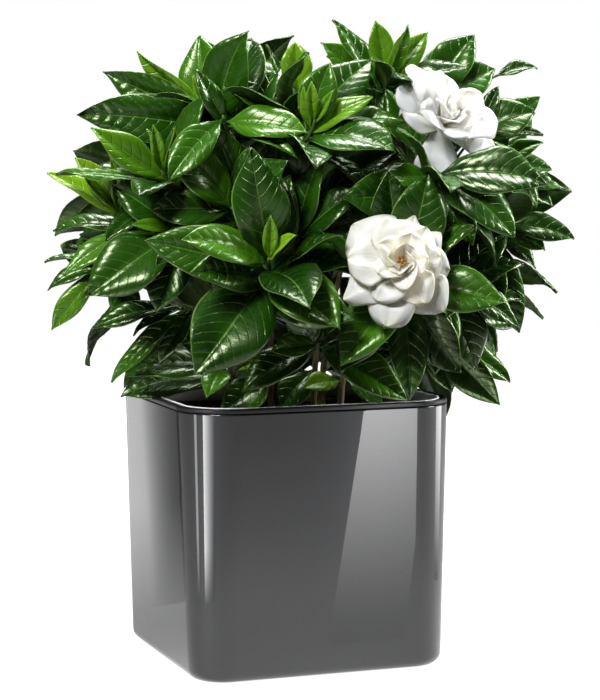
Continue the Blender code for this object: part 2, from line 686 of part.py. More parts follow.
def liner_body():
    """The inner pot, hung on the planter by its rim."""
    under = POT_HEIGHT - RIM_BAND
    skirt = under - RIM_SKIRT
    outer = wall_half(under) - WALL - GAP
    inner = POT_TOP_HALF - RIM_WIDTH
    steps = [
        (LINER_BASE_HALF, LINER_BASE_CORNER, LINER_BASE),
        (outer - RIM_EDGE, TOP_CORNER - WALL - RIM_EDGE, skirt),
        (outer, TOP_CORNER - WALL, under),
        (POT_TOP_HALF, TOP_CORNER, under),
        (POT_TOP_HALF, TOP_CORNER, POT_HEIGHT - RIM_EDGE),
        (POT_TOP_HALF - RIM_EDGE, TOP_CORNER - RIM_EDGE, POT_HEIGHT),
        (inner + RIM_EDGE, TOP_CORNER - RIM_WIDTH + RIM_EDGE, POT_HEIGHT),
        (inner, TOP_CORNER - RIM_WIDTH, POT_HEIGHT - RIM_EDGE),
        (inner, TOP_CORNER - RIM_WIDTH, skirt),
        (LINER_BASE_HALF - LINER_WALL, LINER_BASE_CORNER - LINER_WALL, LINER_BASE + LINER_WALL),
    ]
    return loft([rounded_square(*step) for step in steps])


def post(radius, low, high, x, y):
    return turned(((low, radius), (high, radius)), POST_SIDES, Vector((x, y, 0.0)), UP)


def soil_height(x, y):
    """The lie of the soil: level round the stems, uneven towards the wall."""
    far = max(0.0, math.hypot(x, y) - SOIL_LEVEL_RADIUS)
    return SOIL_LEVEL + SOIL_RELIEF * min(1.0, far) * math.sin(1.7 * x + 0.6) * math.cos(1.3 * y)


def soil_body():
    half = POT_TOP_HALF - RIM_WIDTH - SOIL_GAP
    corner = TOP_CORNER - RIM_WIDTH
    base_half = LINER_BASE_HALF - LINER_WALL - GAP
    rings = [
        rounded_square(base_half, LINER_BASE_CORNER - LINER_WALL, LINER_BASE + LINER_WALL + GAP),
        rounded_square(half, corner, POT_HEIGHT - RIM_BAND - RIM_SKIRT),
    ]
    for share in SOIL_RINGS:
        ring = rounded_square(half * share, corner * share, 0.0)
        for point in ring:
            point.z = soil_height(point.x, point.y)
        rings.append(ring)
    return loft(rings, Vector((0.0, 0.0, soil_height(0.0, 0.0))))


def make_planter(finishes):
    add_object("planter", planter_body(), finishes["planter"])
    liner = add_object("liner", liner_body(), finishes["liner"])
    corners = [(x, y) for x in (-1, 1) for y in (-1, 1)]
    feet = [
        post(FOOT_RADIUS, FLOOR + GAP, LINER_BASE + OVERLAP, x * FOOT_PLACE, y * FOOT_PLACE)
        for x, y in corners]
    drains = [
        post(DRAIN_RADIUS, FLOOR, LINER_BASE + 2 * LINER_WALL, x * DRAIN_PLACE, y * DRAIN_PLACE)
        for x, y in corners]
    combine(liner, "UNION", feet, finishes["liner"])
    combine(liner, "DIFFERENCE", drains, finishes["liner"])
    add_object("soil", soil_body(), finishes["soil"])


def make_stems(routes, finishes, parent):
    for number, route in enumerate(routes):
        add_object("stem_%d" % (number + 1), stem_body(route), finishes["stem"], parent)


def make_shoots(shoots, finishes, parent):
    for name, (path, leaves) in shoots.items():
        twig = add_object("shoot_" + name, twig_body(path), finishes["leaf"], parent)
        bodies = [
            blade(*leaf[:6], leaf_outline, LEAF_STATIONS, LEAF_THICK) for leaf in leaves]
        combine(twig, "UNION", bodies, finishes["leaf"], parent)


def make_flower(name, end, axis, finishes, parent):
    add_object(name + "_tube", turned(TUBE_PROFILE, 8, end, axis), finishes["calyx"], parent)
    for whorl, foot, radius, petals in flower_whorls(end, axis):
        hub = turned(((foot, radius), (foot + HUB_HEIGHT, radius)), 8, end, axis)
        ring = add_object("%s_%s" % (name, whorl), hub, finishes["petal"], parent)
        combine(ring, "UNION", [petal_body(petal, PETAL_THICK) for petal in petals],
                finishes["petal"], parent)
        top = foot + HUB_HEIGHT + GAP
    make_stamens(name, end, axis, top, finishes, parent)


def make_stamens(name, end, axis, foot, finishes, parent):
    """A short pillar with slim anthers leaning out of it."""
    pillar = turned(PILLAR_PROFILE, 6, end + axis * foot, axis)
    cluster = add_object(name + "_stamens", pillar, finishes["stamen"], parent)
    across = axis.cross(UP).normalized()
    anthers = []
    for i in range(STAMENS):
        radial = Matrix.Rotation(2 * math.pi * (i + 0.3) / STAMENS, 3, axis) @ across
        start = end + axis * (foot + STAMEN_FOOT)
        tip = start + (axis + radial * STAMEN_LEAN).normalized() * STAMEN_LENGTH
        anthers.append(tube([start, tip], [STAMEN_RADIUS, STAMEN_RADIUS * 0.7], 4))
    combine(cluster, "UNION", anthers, finishes["stamen"], parent)


def main():
    clear_scene()
    finishes = {
        "planter": material("planter_gloss", (0.055, 0.057, 0.06), 0.12, 0.6),
        "liner": material("liner_black", (0.012, 0.012, 0.013), 0.35),
        "soil": material("potting_mix", (0.018, 0.011, 0.007), 0.95),
        "stem": material("bark", (0.16, 0.11, 0.05), 0.8),
        "leaf": material("leaf_green", (0.02, 0.09, 0.012), 0.25),
        "petal": material("petal_white", (0.86, 0.84, 0.76), 0.5),
        "calyx": material("calyx_green", (0.22, 0.34, 0.08), 0.5),
        "stamen": material("stamen_amber", (0.5, 0.2, 0.03), 0.7),
    }
    make_planter(finishes)
    plant = bpy.data.objects.new("plant_frame", None)
    plant.rotation_euler.z = math.radians(PLANT_TURN)
    bpy.context.scene.collection.objects.link(plant)
    routes, shoots, flowers = lay_out_plant()
    make_stems(routes, finishes, plant)
    make_shoots(shoots, finishes, plant)
    for name, (end, axis) in flowers.items():
        make_flower(name, end, axis, finishes, plant)


main()
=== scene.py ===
"""The looks of a gardenia in flower in a glossy square planter, built round its CAD model.

Sizes are in centimetres up to the moment a mesh is made. The plant is laid out in a frame of
its own, turned about +Z: +X is its right, -Y its front. The layout repeats the CAD model's
rules, so that each fine leaf, twig and petal lies where its plain CAD solid is.
"""

import math
import random

import bpy
import numpy as np
from mathutils import Euler, Matrix, Vector, noise
from mathutils.bvhtree import BVHTree


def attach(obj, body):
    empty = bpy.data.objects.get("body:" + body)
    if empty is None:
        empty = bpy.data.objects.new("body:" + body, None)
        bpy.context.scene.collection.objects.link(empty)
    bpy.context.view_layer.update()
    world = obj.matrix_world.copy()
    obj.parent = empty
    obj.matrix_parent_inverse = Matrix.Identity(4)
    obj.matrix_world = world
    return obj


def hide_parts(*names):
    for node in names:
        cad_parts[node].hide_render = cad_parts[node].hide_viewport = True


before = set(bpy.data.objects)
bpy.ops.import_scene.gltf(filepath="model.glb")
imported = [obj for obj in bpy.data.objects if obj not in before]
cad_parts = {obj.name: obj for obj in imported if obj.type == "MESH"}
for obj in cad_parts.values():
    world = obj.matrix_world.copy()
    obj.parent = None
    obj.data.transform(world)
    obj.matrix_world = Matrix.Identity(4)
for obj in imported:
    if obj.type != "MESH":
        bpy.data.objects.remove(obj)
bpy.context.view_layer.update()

CM = 0.01
GAP = 0.03

# Planter, liner and soil, as in the CAD model
POT_HEIGHT = 16.0
POT_TOP_HALF = 8.4
POT_BASE_HALF = 7.9
TOP_CORNER = 3.3
BASE_CORNER = 2.2
BASE_EDGE = 0.65
WALL = 0.35
FLOOR = 0.5
RIM_BAND = 0.5
RIM_WIDTH = 0.62
RIM_EDGE = 0.07
RIM_SKIRT = 1.2
LINER_WALL = 0.2
LINER_BASE = FLOOR + 1.0
LINER_BASE_HALF = 6.6
LINER_BASE_CORNER = 1.6
SOIL_GAP = 0.05
SOIL_LEVEL = 14.6

# Plant frame
PLANT_TURN = -20.0
CROWN_CORE = Vector((1.5, 0.0, 22.5))
VIEWER = Vector((0.0, -1.0, 0.0))
UP = Vector((0.0, 0.0, 1.0))
KEEP_OUT_HALF = POT_TOP_HALF + 0.25
KEEP_OUT_TOP = POT_HEIGHT + 0.25

# Woody stems: foot on the soil (x, y) and top (x, y, z)
STEM_FOOT_RADIUS = 0.2
STEM_TOP_RADIUS = 0.12
STEM_UPRIGHT = 0.4  # shares of its rise and spread that shape its curve
STEM_SPREAD = 0.55
STEM_BEND = 0.72
STEM_SIDES = 6
STEM_SPANS = 8
STEMS = [
    ((-3.0, -0.9), (-7.8, -2.4, 30.4)),
    ((-0.7, -1.3), (-0.8, -4.6, 32.0)),
    ((1.9, 0.3), (5.6, -1.2, 34.0)),
    ((3.5, -0.9), (10.8, -1.8, 29.6)),
    ((-0.5, 2.1), (-4.0, 6.0, 30.6)),
    ((2.4, 2.4), (6.4, 6.2, 31.0)),
]

# Twigs
TWIG_BASE_RADIUS = 0.1
TWIG_TIP_RADIUS = 0.075
TWIG_SIDES = 4
TWIG_SPANS = 4
TWIG_GAP = 0.05
TWIG_LEAST = 2.0
TWIG_PULL = 0.38  # of its length, straight out of the stem and straight to its end
TWIG_FREE_FROM = 0.55  # of its first span, beyond which its own stem counts too
FLAT_COST = 1.2  # for a twig that rises less than FLAT_RISE of its length
FLAT_RISE = 0.35
SLOPE_STEP = 0.02
SITE_SHARES = [0.12 + 0.035 * i for i in range(25)]
FIRST_LEAF_BACK = 0.18
LEAF_STEP_BACK = 0.3
LEAFY_SHARE = 0.8  # of a twig, counted back from its end

# Leaves, and the guards that keep room round them
PETIOLE_HALF = 0.05
YOUNG_ARCH = 12
OLD_ARCH = 38
YOUNG_FOLD = 30
OLD_FOLD = 14
GUARD_STATIONS = (0.06, 0.3, 0.64, 0.84)
OUTER_STATIONS = (0.26, 0.64, 0.84)
GUARD_THICK = 0.26
GUARD_MARGIN = 0.06
TUBE_GUARD = 0.09

# Flowers, measured along their axis from the end of the twig
TUBE_PROFILE = ((GAP, 0.1), (0.25, 0.26), (0.8, 0.24), (1.5, 0.17), (1.95, 0.3))
HUB_HEIGHT = 0.26
PETAL_STAGGER = 3  # degrees more rise on every second petal
PETAL_SEAT = 0.65  # of the hub's radius
PETAL_STATIONS = (0.0, 0.25, 0.6, 0.88)
# name, hub radius, count, length, width, rise from the flower's face, arch, fold, turn, roll
WHORLS = [
    ("outer_petals", 0.3, 7, 3.05, 2.7, 2, 44, 3, 0, 11),
    ("middle_petals", 0.3, 6, 2.45, 2.4, 24, 34, 9, 24, 10),
    ("inner_petals", 0.28, 5, 1.75, 1.8, 47, 10, 18, 40, 10),
    ("heart_petals", 0.22, 4, 1.05, 0.9, 74, -6, 20, 10, 8),
]
STAMENS = 6
STAMEN_LENGTH = 0.62
STAMEN_FOOT = 0.12

# Shoots with a place of their own: the twig's end (x, y, z), the way it points, and its
# leaves from the end backwards. A leaf is (clock, lean, length, width, face, age): clock
# in degrees as seen from the front, 0 up and 90 right; lean in degrees towards the front;
# face from 0, upper side up, to 90, upper side to the front; age 0 young, 1 old.
SHOOTS = {
    "flower_front": ((7.0, -10.1, 23.6), (-0.1, -0.95, 0.28), [
        (12, 5, 6.0, 3.0, 70, 0.9), (104, 15, 5.9, 2.8, 60, 0.7), (217, 20, 6.5, 3.0, 65, 0.6),
        (178, 5, 7.0, 2.2, 60, 0.9), (150, 0, 6.3, 2.8, 60, 1.0), (298, -5, 5.6, 2.6, 50, 1.0)]),
    "flower_top": ((8.2, -5.1, 30.6), (0.42, -0.66, 0.62), [
        (250, 15, 4.4, 2.0, 60, 0.9), (70, -10, 4.6, 2.2, 40, 1.0), (330, -15, 4.4, 2.2, 50, 1.0),
        (160, -5, 4.0, 2.0, 60, 1.0)]),
    "front": ((-0.7, -11.0, 24.6), (-0.05, -0.9, 0.4), [
        (3, 25, 2.7, 0.9, 70, 0.0), (48, 35, 2.5, 1.3, 50, 0.1), (284, 32, 5.7, 2.5, 55, 0.6),
        (351, 8, 6.3, 3.2, 75, 0.9), (133, 28, 6.1, 3.6, 60, 0.5), (279, 8, 7.0, 3.0, 75, 0.8),
        (213, 18, 7.8, 4.3, 65, 0.9)]),
    "centre": ((1.0, -8.4, 25.6), (0.4, -0.7, 0.5), [
        (50, 15, 4.6, 2.2, 45, 0.8), (15, -5, 5.0, 2.4, 60, 1.0), (102, 0, 4.8, 2.2, 60, 1.0),
        (165, 5, 5.2, 2.6, 60, 1.0)]),
    "centre_left": ((-2.9, -8.2, 27.4), (-0.5, -0.7, 0.5), [
        (314, 12, 4.9, 2.7, 60, 0.5), (268, 0, 4.6, 2.2, 60, 1.0), (30, -5, 4.8, 2.2, 60, 1.0),
        (225, 0, 4.6, 2.2, 50, 1.0)]),
    "upper_inner": ((2.6, -6.2, 28.4), (0.2, -0.7, 0.7), [
        (300, 5, 5.0, 2.4, 50, 1.0), (62, 5, 4.8, 2.4, 50, 1.0), (122, 10, 5.0, 2.4, 60, 1.0),
        (235, 10, 4.8, 2.4, 60, 1.0)]),
    "arch": ((-3.3, -8.6, 32.6), (-0.1, -0.6, 0.8), [
        (219, 22, 5.1, 2.1, 55, 0.5), (101, 15, 5.0, 2.5, 55, 0.5), (119, 22, 5.2, 1.4, 25, 0.5),
        (330, 0, 3.0, 1.3, 50, 0.9)]),
    "upper_centre": ((1.9, -7.8, 32.4), (0.1, -0.5, 0.85), [
        (355, 22, 2.3, 0.8, 70, 0.0), (22, 18, 2.0, 0.7, 70, 0.1), (332, 18, 2.0, 0.7, 70, 0.1),
        (8, 2, 3.3, 2.3, 75, 0.5), (62, 10, 3.4, 1.8, 40, 0.3), (112, 28, 5.5, 3.7, 55, 1.0)]),
    "top_left": ((-4.6, -4.4, 33.2), (-0.2, -0.3, 0.9), [
        (8, 18, 2.8, 0.9, 70, 0.0), (342, 20, 2.0, 0.6, 70, 0.1), (68, 15, 3.6, 1.5, 50, 0.8),
        (350, -5, 4.2, 2.8, 75, 0.5), (31, 5, 5.5, 3.1, 55, 0.8), (318, 0, 5.0, 1.6, 80, 0.2),
        (289, 0, 6.2, 2.2, 60, 0.8), (266, 12, 7.4, 2.8, 50, 1.0)]),
    "left_top": ((-6.9, -7.3, 29.5), (-0.5, -0.5, 0.7), [
        (352, 25, 2.9, 0.9, 70, 0.0), (12, 24, 2.9, 1.1, 70, 0.1), (334, 22, 2.5, 0.7, 70, 0.2),
        (302, 10, 4.7, 2.1, 60, 0.4), (268, 5, 6.0, 1.5, 35, 0.6), (150, 15, 3.6, 1.8, 60, 1.0)]),
    "far_left": ((-9.6, -5.8, 26.9), (-0.8, -0.4, 0.4), [
        (350, 22, 3.4, 0.9, 70, 0.2), (6, 16, 3.0, 0.8, 70, 0.3), (331, 15, 4.1, 1.7, 65, 0.1),
        (302, 8, 4.7, 2.1, 65, 0.1), (222, 10, 4.7, 1.6, 45, 0.5), (200, 5, 3.6, 1.6, 55, 0.9)]),
    "left_mid": ((-6.2, -7.4, 26.0), (-0.6, -0.7, 0.2), [
        (280, 25, 2.6, 0.9, 50, 0.3), (233, 15, 6.2, 3.5, 55, 0.9), (325, 0, 4.4, 2.0, 60, 1.0),
        (192, 12, 4.8, 2.4, 60, 1.0)]),
    "left_hang": ((-10.5, -4.4, 23.8), (-0.9, -0.3, 0.0), [
        (220, 5, 4.8, 1.6, 50, 0.4), (248, 0, 3.6, 1.3, 50, 0.9), (275, -8, 3.6, 1.6, 45, 1.0),
        (160, 5, 3.6, 1.8, 60, 1.0)]),
    "left_low": ((-6.1, -5.0, 21.6), (-0.8, -0.5, 0.0), [
        (255, 5, 5.3, 1.6, 40, 0.8), (236, 10, 3.2, 1.0, 40, 0.9), (221, 5, 6.0, 1.5, 35, 0.6),
        (198, 5, 3.6, 1.3, 60, 0.9), (130, 5, 3.6, 1.8, 60, 0.7)]),
    "soil_left": ((-3.8, -3.4, 17.9), (-0.8, -0.5, 0.3), [
        (264, 5, 5.6, 3.0, 35, 0.9), (190, 45, 3.6, 1.7, 40, 0.7), (310, 0, 3.4, 1.6, 50, 0.9)]),
    "low_front": ((2.1, -7.8, 19.6), (0.0, -0.9, 0.2), [
        (262, 20, 2.9, 1.7, 55, 0.3), (122, 12, 6.1, 2.6, 50, 0.5), (238, 8, 5.2, 2.4, 45, 0.8),
        (325, 12, 3.2, 2.0, 60, 0.9), (60, 10, 3.4, 1.8, 50, 0.9)]),
    "top_mid": ((1.0, -2.2, 34.2), (0.0, -0.1, 1.0), [
        (355, 0, 2.9, 2.0, 70, 0.3), (284, 0, 3.8, 1.9, 45, 1.0), (68, 0, 3.8, 2.2, 45, 1.0),
        (318, -5, 3.4, 0.9, 40, 0.9), (190, 35, 3.6, 1.9, 40, 1.0)]),
    "top_right_centre": ((6.1, -3.2, 34.8), (0.1, -0.2, 1.0), [
        (350, 5, 3.5, 1.7, 75, 0.3), (9, 5, 3.6, 1.2, 75, 0.3), (35, 5, 3.7, 1.7, 60, 0.3),
        (318, 5, 4.7, 1.6, 40, 0.9), (300, 0, 4.4, 1.9, 55, 0.6), (262, 10, 3.2, 1.9, 45, 1.0)]),
    "top_right": ((8.9, -1.4, 34.0), (0.3, 0.0, 0.9), [
        (36, 0, 4.4, 2.5, 60, 1.0), (62, 8, 4.1, 2.8, 60, 1.0), (10, -15, 3.4, 1.8, 60, 0.8)]),
    "sprig": ((13.0, -0.4, 35.2), (0.8, 0.0, 0.35), [(80, 0, 2.4, 1.1, 50, 0.9)]),
    "right_up": ((11.9, -2.8, 32.0), (0.6, -0.2, 0.6), [
        (74, 10, 3.2, 2.5, 65, 1.0), (56, 0, 3.9, 1.6, 55, 0.7), (96, 5, 3.6, 1.5, 55, 0.8),
        (20, 0, 2.6, 1.3, 60, 1.0)]),
    "right_mid": ((13.2, -2.2, 30.0), (0.9, -0.1, 0.3), [
        (64, 5, 2.6, 1.2, 60, 0.5), (93, 5, 2.9, 2.0, 45, 0.9), (108, 5, 4.1, 1.6, 45, 0.9),
        (132, 5, 4.0, 2.1, 45, 0.9)]),
    "right_big": ((8.9, -8.8, 29.4), (0.5, -0.7, 0.4), [
        (96, 12, 6.2, 3.1, 60, 1.0), (131, 18, 5.8, 3.0, 45, 0.9), (264, 12, 3.4, 2.0, 50, 0.6),
        (155, 12, 4.6, 2.0, 50, 0.9)]),
    "right_low": ((13.0, -3.8, 26.2), (0.9, -0.3, -0.1), [
        (100, 5, 4.3, 1.9, 50, 0.9), (119, 8, 2.9, 1.9, 50, 0.6), (141, 5, 3.2, 1.5, 50, 0.9),
        (171, 8, 6.4, 2.3, 60, 1.0)]),
    "right_under": ((9.8, -7.2, 22.8), (0.6, -0.6, -0.1), [
        (121, 0, 4.6, 1.8, 45, 1.0), (164, 5, 5.0, 2.5, 60, 1.0), (72, -5, 4.4, 2.2, 50, 1.0)]),
    "low_right": ((9.4, -5.6, 19.8), (0.7, -0.4, -0.1), [
        (124, 0, 4.8, 1.8, 45, 0.5), (139, 10, 5.3, 2.2, 55, 0.7), (170, 8, 3.3, 1.9, 55, 0.9)]),
}

# Shoots that follow a rule: height of the ring, its radius, how many, first bearing and
# step in degrees, 0 at the right and 90 at the back
RING_SHOOTS = [
    (19.6, 8.4, 3, 44, 48),
    (24.0, 11.6, 4, 8, 50),
    (28.6, 11.0, 4, 32, 42),
    (33.0, 7.4, 2, 60, 62),
]
RING_SEED = 11
# tilt from the twig's own direction, length, width and age of a ring shoot's leaves
RING_LEAVES = [
    (16, 2.5, 0.9, 0.0), (44, 5.2, 2.6, 0.5), (56, 6.2, 3.1, 0.8), (66, 7.0, 3.4, 1.0),
    (78, 7.4, 3.6, 1.0), (90, 7.2, 3.5, 1.0), (104, 5.6, 2.9, 1.0),
]
# and of the leaves that fill in behind the others, with the shoots that have none
FILL_LEAVES = [(74, 5.8, 2.9, 1.0), (94, 6.0, 3.0, 1.0)]
OPEN_SHOOTS = (
    "left_low", "soil_left", "low_front", "sprig", "low_right", "right_up", "top_right", "arch")
GOLDEN_TURN = 137.5

# Leaves the CAD model leaves out, tucked in on the same twigs where there is room for a
# real leaf's thickness
INNER_LEAVES = [
    (62, 5.0, 2.5, 0.8), (80, 5.6, 2.8, 1.0), (96, 6.0, 3.0, 1.0), (112, 5.4, 2.7, 1.0),
    (70, 4.6, 2.3, 0.9), (125, 4.8, 2.4, 1.0)]
INNER_GUARD = 0.08
OPEN_SIDE = -3.0  # none of them ends further left than this below OPEN_HEIGHT
OPEN_HEIGHT = 24.0


# Layout, as in the CAD model --------------------------------------------------------------


def loft(rings, tip=None):
    """Points and triangles of a closed skin over rings that turn anticlockwise about the
    way the loft runs. It ends in a flat cap or, where tip is given, in that point."""
    count = len(rings[0])
    points = [point for ring in rings for point in ring]
    faces = [tuple(reversed(range(count)))]
    for start in range(0, (len(rings) - 1) * count, count):
        for i in range(count):
            a, b = start + i, start + (i + 1) % count
            faces += [(a, b, b + count), (a, b + count, a + count)]
    last = len(points) - count
    if tip is None:
        faces.append(tuple(range(last, last + count)))
    else:
        points.append(tip)
        faces += [(last + i, last + (i + 1) % count, len(points) - 1) for i in range(count)]
    return points, faces


def rounded_square(half, corner, height):
    """A level ring of points, anticlockwise from above."""
    points = []
    for quarter in range(4):
        middle = math.radians(45 + 90 * quarter)
        x = math.copysign(half - corner, math.cos(middle))
        y = math.copysign(half - corner, math.sin(middle))
        for step in range(FINE_CORNER_STEPS + 1):
            angle = math.radians(90 * (quarter + step / FINE_CORNER_STEPS))
            points.append(Vector((x + corner * math.cos(angle), y + corner * math.sin(angle), height)))
    return points


def tube(path, radii, sides):
    """A tube along a path, square to it at both ends."""
    rings = []
    side = None
    for i, centre in enumerate(path):
        before, after = path[max(i - 1, 0)], path[min(i + 1, len(path) - 1)]
        along = (after - before).normalized()
        if side is None:
            side = along.orthogonal().normalized()
        side = (side - along * side.dot(along)).normalized()
        other = along.cross(side)
        angles = [2 * math.pi * k / sides for k in range(sides)]
        rings.append([centre + radii[i] * (side * math.cos(a) + other * math.sin(a)) for a in angles])
    return loft(rings)


def turned(profile, sides, base, axis):
    """A body turned about an axis from (distance along it, radius) pairs."""
    return tube([base + axis * along for along, _ in profile], [radius for _, radius in profile], sides)


def curve(p0, p1, p2, p3, share):
    """A point of a cubic Bezier curve."""
    rest = 1 - share
    return p0 * rest**3 + p1 * 3 * rest**2 * share + p2 * 3 * rest * share**2 + p3 * share**3


def walked(route, spans):
    """Even shares of a route, and its points there."""
    shares = [i / spans for i in range(spans + 1)]
    return shares, [curve(*route, share) for share in shares]


def leaf_outline(share):
    """Half width of a leaf, as a share of its widest, along its length."""
    return math.sin(math.pi * share**1.1) ** 0.85


def petal_outline(share):
    """Half width of a petal: narrow at the base, widest past the middle, round ended."""
    return min(1.0, 0.28 + 1.25 * share) * (1 - share**5) ** 0.5 * (1 - 0.12 * share)


def blade(base, tip, upper, width, arch, fold, outline, stations, thick):
    """A thin blade from base to tip. upper is roughly its upper side, arch bends it back in
    degrees and fold lifts each half from the midrib in degrees."""
    chord = tip - base
    along = chord.normalized()
    normal = (upper - along * upper.dot(along)).normalized()
    side = along.cross(normal)
    bow = chord.length * math.radians(arch) / 8
    rings = []
    for share in stations:
        middle = base + chord * share + normal * (4 * bow * share * (1 - share))
        half = max(width / 2 * outline(share), PETIOLE_HALF) if share > 0 else PETIOLE_HALF
        out = side * (half * math.cos(math.radians(fold)))
        lift = normal * (half * math.sin(math.radians(fold)))
        body = normal * (thick / 2)
        rings.append([middle + body, middle + out + lift, middle - body, middle - out + lift])
    return loft(rings, tip)


def leaf_guard(leaf, stations, thick):
    """The space a leaf needs round itself, as a fatter and wider blade."""
    base, tip, upper, width, arch, fold, _ = leaf
    spread = width + 2 * GUARD_MARGIN
    return blade(base, tip, upper, spread, arch, fold, leaf_outline, stations, thick)


class Room:
    """The pieces placed so far. A piece has an owner, a whole guard, and an outer guard
    that leaves out the part near its own twig."""

    def __init__(self):
        self.pieces = []

    def add(self, owner, whole, outer=None):
        self.pieces.append((owner, solid_guard(whole), solid_guard(outer or whole)))

    def free(self, owner, whole, outer):
        """True where a piece of that owner touches nothing."""
        whole_box, whole_tree = solid_guard(whole)
        outer_box, outer_tree = solid_guard(outer)
        for other, (far_box, far_tree), (near_box, near_tree) in self.pieces:
            if other == owner:
                if boxes_meet(outer_box, near_box) and outer_tree.overlap(near_tree):
                    return False
            elif boxes_meet(whole_box, far_box) and whole_tree.overlap(far_tree):
                return False
        return True


def solid_guard(mesh):
    points, faces = mesh
    low = tuple(min(p[i] for p in points) for i in range(3))
    high = tuple(max(p[i] for p in points) for i in range(3))
    return (low, high), BVHTree.FromPolygons(points, faces)


def boxes_meet(a, b):
    return all(a[0][i] <= b[1][i] and b[0][i] <= a[1][i] for i in range(3))


def clears_planter(points):
    """True where no point is in the planter or just above its rim."""
    turn = Matrix.Rotation(math.radians(PLANT_TURN), 3, "Z")
    for point in points:
        if point.z < KEEP_OUT_TOP:
            world = turn @ point
            if abs(world.x) < KEEP_OUT_HALF and abs(world.y) < KEEP_OUT_HALF:
                return False
    return True


def stem_route(foot, top):
    """The four control points of a woody stem."""
    start = Vector((foot[0], foot[1], SOIL_LEVEL + GAP))
    end = Vector(top)
    rise = end.z - start.z
    low = start + UP * (STEM_UPRIGHT * rise)
    high = start.lerp(end, STEM_SPREAD)
    high.z = start.z + STEM_BEND * rise
    return start, low, high, end


def stem_radius(share):
    return STEM_FOOT_RADIUS + (STEM_TOP_RADIUS - STEM_FOOT_RADIUS) * share


def stem_body(route, extra=0.0):
    shares, path = walked(route, STEM_SPANS)
    return tube(path, [stem_radius(share) + extra for share in shares], STEM_SIDES)


def twig_sites(routes, end):
    """Where a twig could leave a stem, the shortest and most upright reach first."""
    sites = []
    for number, route in enumerate(routes):
        for share in SITE_SHARES:
            at = curve(*route, share)
            before, after = curve(*route, share - SLOPE_STEP), curve(*route, share + SLOPE_STEP)
            along = (after - before).normalized()
            reach = end - at
            if at.z < KEEP_OUT_TOP:
                continue
            out = (reach - along * reach.dot(along)).normalized()
            start = at + out * (stem_radius(share) + TWIG_GAP)
            cost = reach.length + FLAT_COST * max(0.0, FLAT_RISE * reach.length - reach.z)
            sites.append((cost, number, share, start, out))
    return sorted(sites, key=lambda site: site[:3])


def twig_route(start, out, end, way):
    """The four control points of a twig."""
    pull = TWIG_PULL * (end - start).length
    return start, start + out * pull, end - way * pull, end


def twig_body(path, extra=0.0):
    count = len(path) - 1
    step = (TWIG_TIP_RADIUS - TWIG_BASE_RADIUS) / count
    radii = [TWIG_BASE_RADIUS + step * i + extra for i in range(len(path))]
    return tube(path, radii, TWIG_SIDES)


def place_twig(room, routes, name, end, way):
    """The first route from a stem to the twig's end that crosses nothing."""
    for _, number, _, start, out in twig_sites(routes, end):
        route = twig_route(start, out, end, way)
        _, path = walked(route, TWIG_SPANS)
        if (path[-1] - path[0]).length < TWIG_LEAST:
            continue
        guard = twig_body(path, TUBE_GUARD)
        beyond = twig_body([path[0].lerp(path[1], TWIG_FREE_FROM)] + path[1:], TUBE_GUARD)
        if room.free("stem_%d" % number, guard, beyond):
            room.add(name, guard)
            return route, path
    raise ValueError("no free route for " + name)


def point_back(path, distance):
    """The point of a path that far back from its end."""
    for i in range(len(path) - 1, 0, -1):
        span = (path[i] - path[i - 1]).length
        if distance <= span:
            return path[i].lerp(path[i - 1], distance / span)
        distance -= span
    return path[0].copy()


def clock_way(clock, lean):
    clock, lean = math.radians(clock), math.radians(lean)
    return Vector((
        math.sin(clock) * math.cos(lean), -math.sin(lean), math.cos(clock) * math.cos(lean)))


def facing(face):
    """Where a leaf's upper side looks: up at 0 degrees, to the front at 90."""
    face = math.radians(face)
    return UP * math.cos(face) + VIEWER * math.sin(face)


def nudges():
    """Small changes of a leaf, the slightest first: (share of its length, tilt, side, roll)."""
    for share in (1.0, 0.88, 0.76):
        for tilt in (0, 8, 16, 24):
            for side in range(8 if tilt else 1):
                for roll in (0, 18, -18, 36, -36):
                    yield share, tilt, side * 45, roll


NUDGES = list(nudges())


def nudged(leaf, share, tilt, side, roll):
    """The leaf made shorter, tilted towards a side and rolled about its own length."""
    base, tip, upper, width, arch, fold, age = leaf
    chord = (tip - base) * share
    along = chord.normalized()
    across = along.orthogonal().normalized()
    hinge = Matrix.Rotation(math.radians(side), 3, along) @ across
    chord = Matrix.Rotation(math.radians(tilt), 3, hinge) @ chord
    upper = Matrix.Rotation(math.radians(roll), 3, along) @ upper
    return base, base + chord, upper, width * share, arch, fold, age


def place_leaf(room, owner, leaf, thick, clears=clears_planter):
    """The leaf, nudged until it touches nothing, or None."""
    for change in NUDGES:
        tried = nudged(leaf, *change)
        whole = leaf_guard(tried, GUARD_STATIONS, thick)
        if not clears(whole[0]):
            continue
        outer = leaf_guard(tried, OUTER_STATIONS, thick)
        if room.free(owner, whole, outer):
            room.add(owner, whole, outer)
            return tried
    return None


def place_leaves(room, owner, wanted, thick=GUARD_THICK):
    placed = [place_leaf(room, owner, leaf, thick) for leaf in wanted]
    return [leaf for leaf in placed if leaf]


def leaf_wanted(path, number, end, way, length, width, upper, age, draw):
    """A leaf as it would grow with nothing in its way: a young one is straight and folded,
    an old one arches back and lies open."""
    leafy = LEAFY_SHARE * sum((b - a).length for a, b in zip(path, path[1:]))
    base = point_back(path, FIRST_LEAF_BACK + LEAF_STEP_BACK * number % leafy)
    arch = YOUNG_ARCH + (OLD_ARCH - YOUNG_ARCH) * age + draw.uniform(-6, 12)
    fold = YOUNG_FOLD + (OLD_FOLD - YOUNG_FOLD) * age + draw.uniform(-4, 6)
    return base, end + way * length, upper, width, arch, fold, age


def own_leaves(path, end, leaves, draw):
    for number, (clock, lean, length, width, face, age) in enumerate(leaves):
        way = clock_way(clock, lean)
        yield leaf_wanted(path, number, end, way, length, width, facing(face), age, draw)


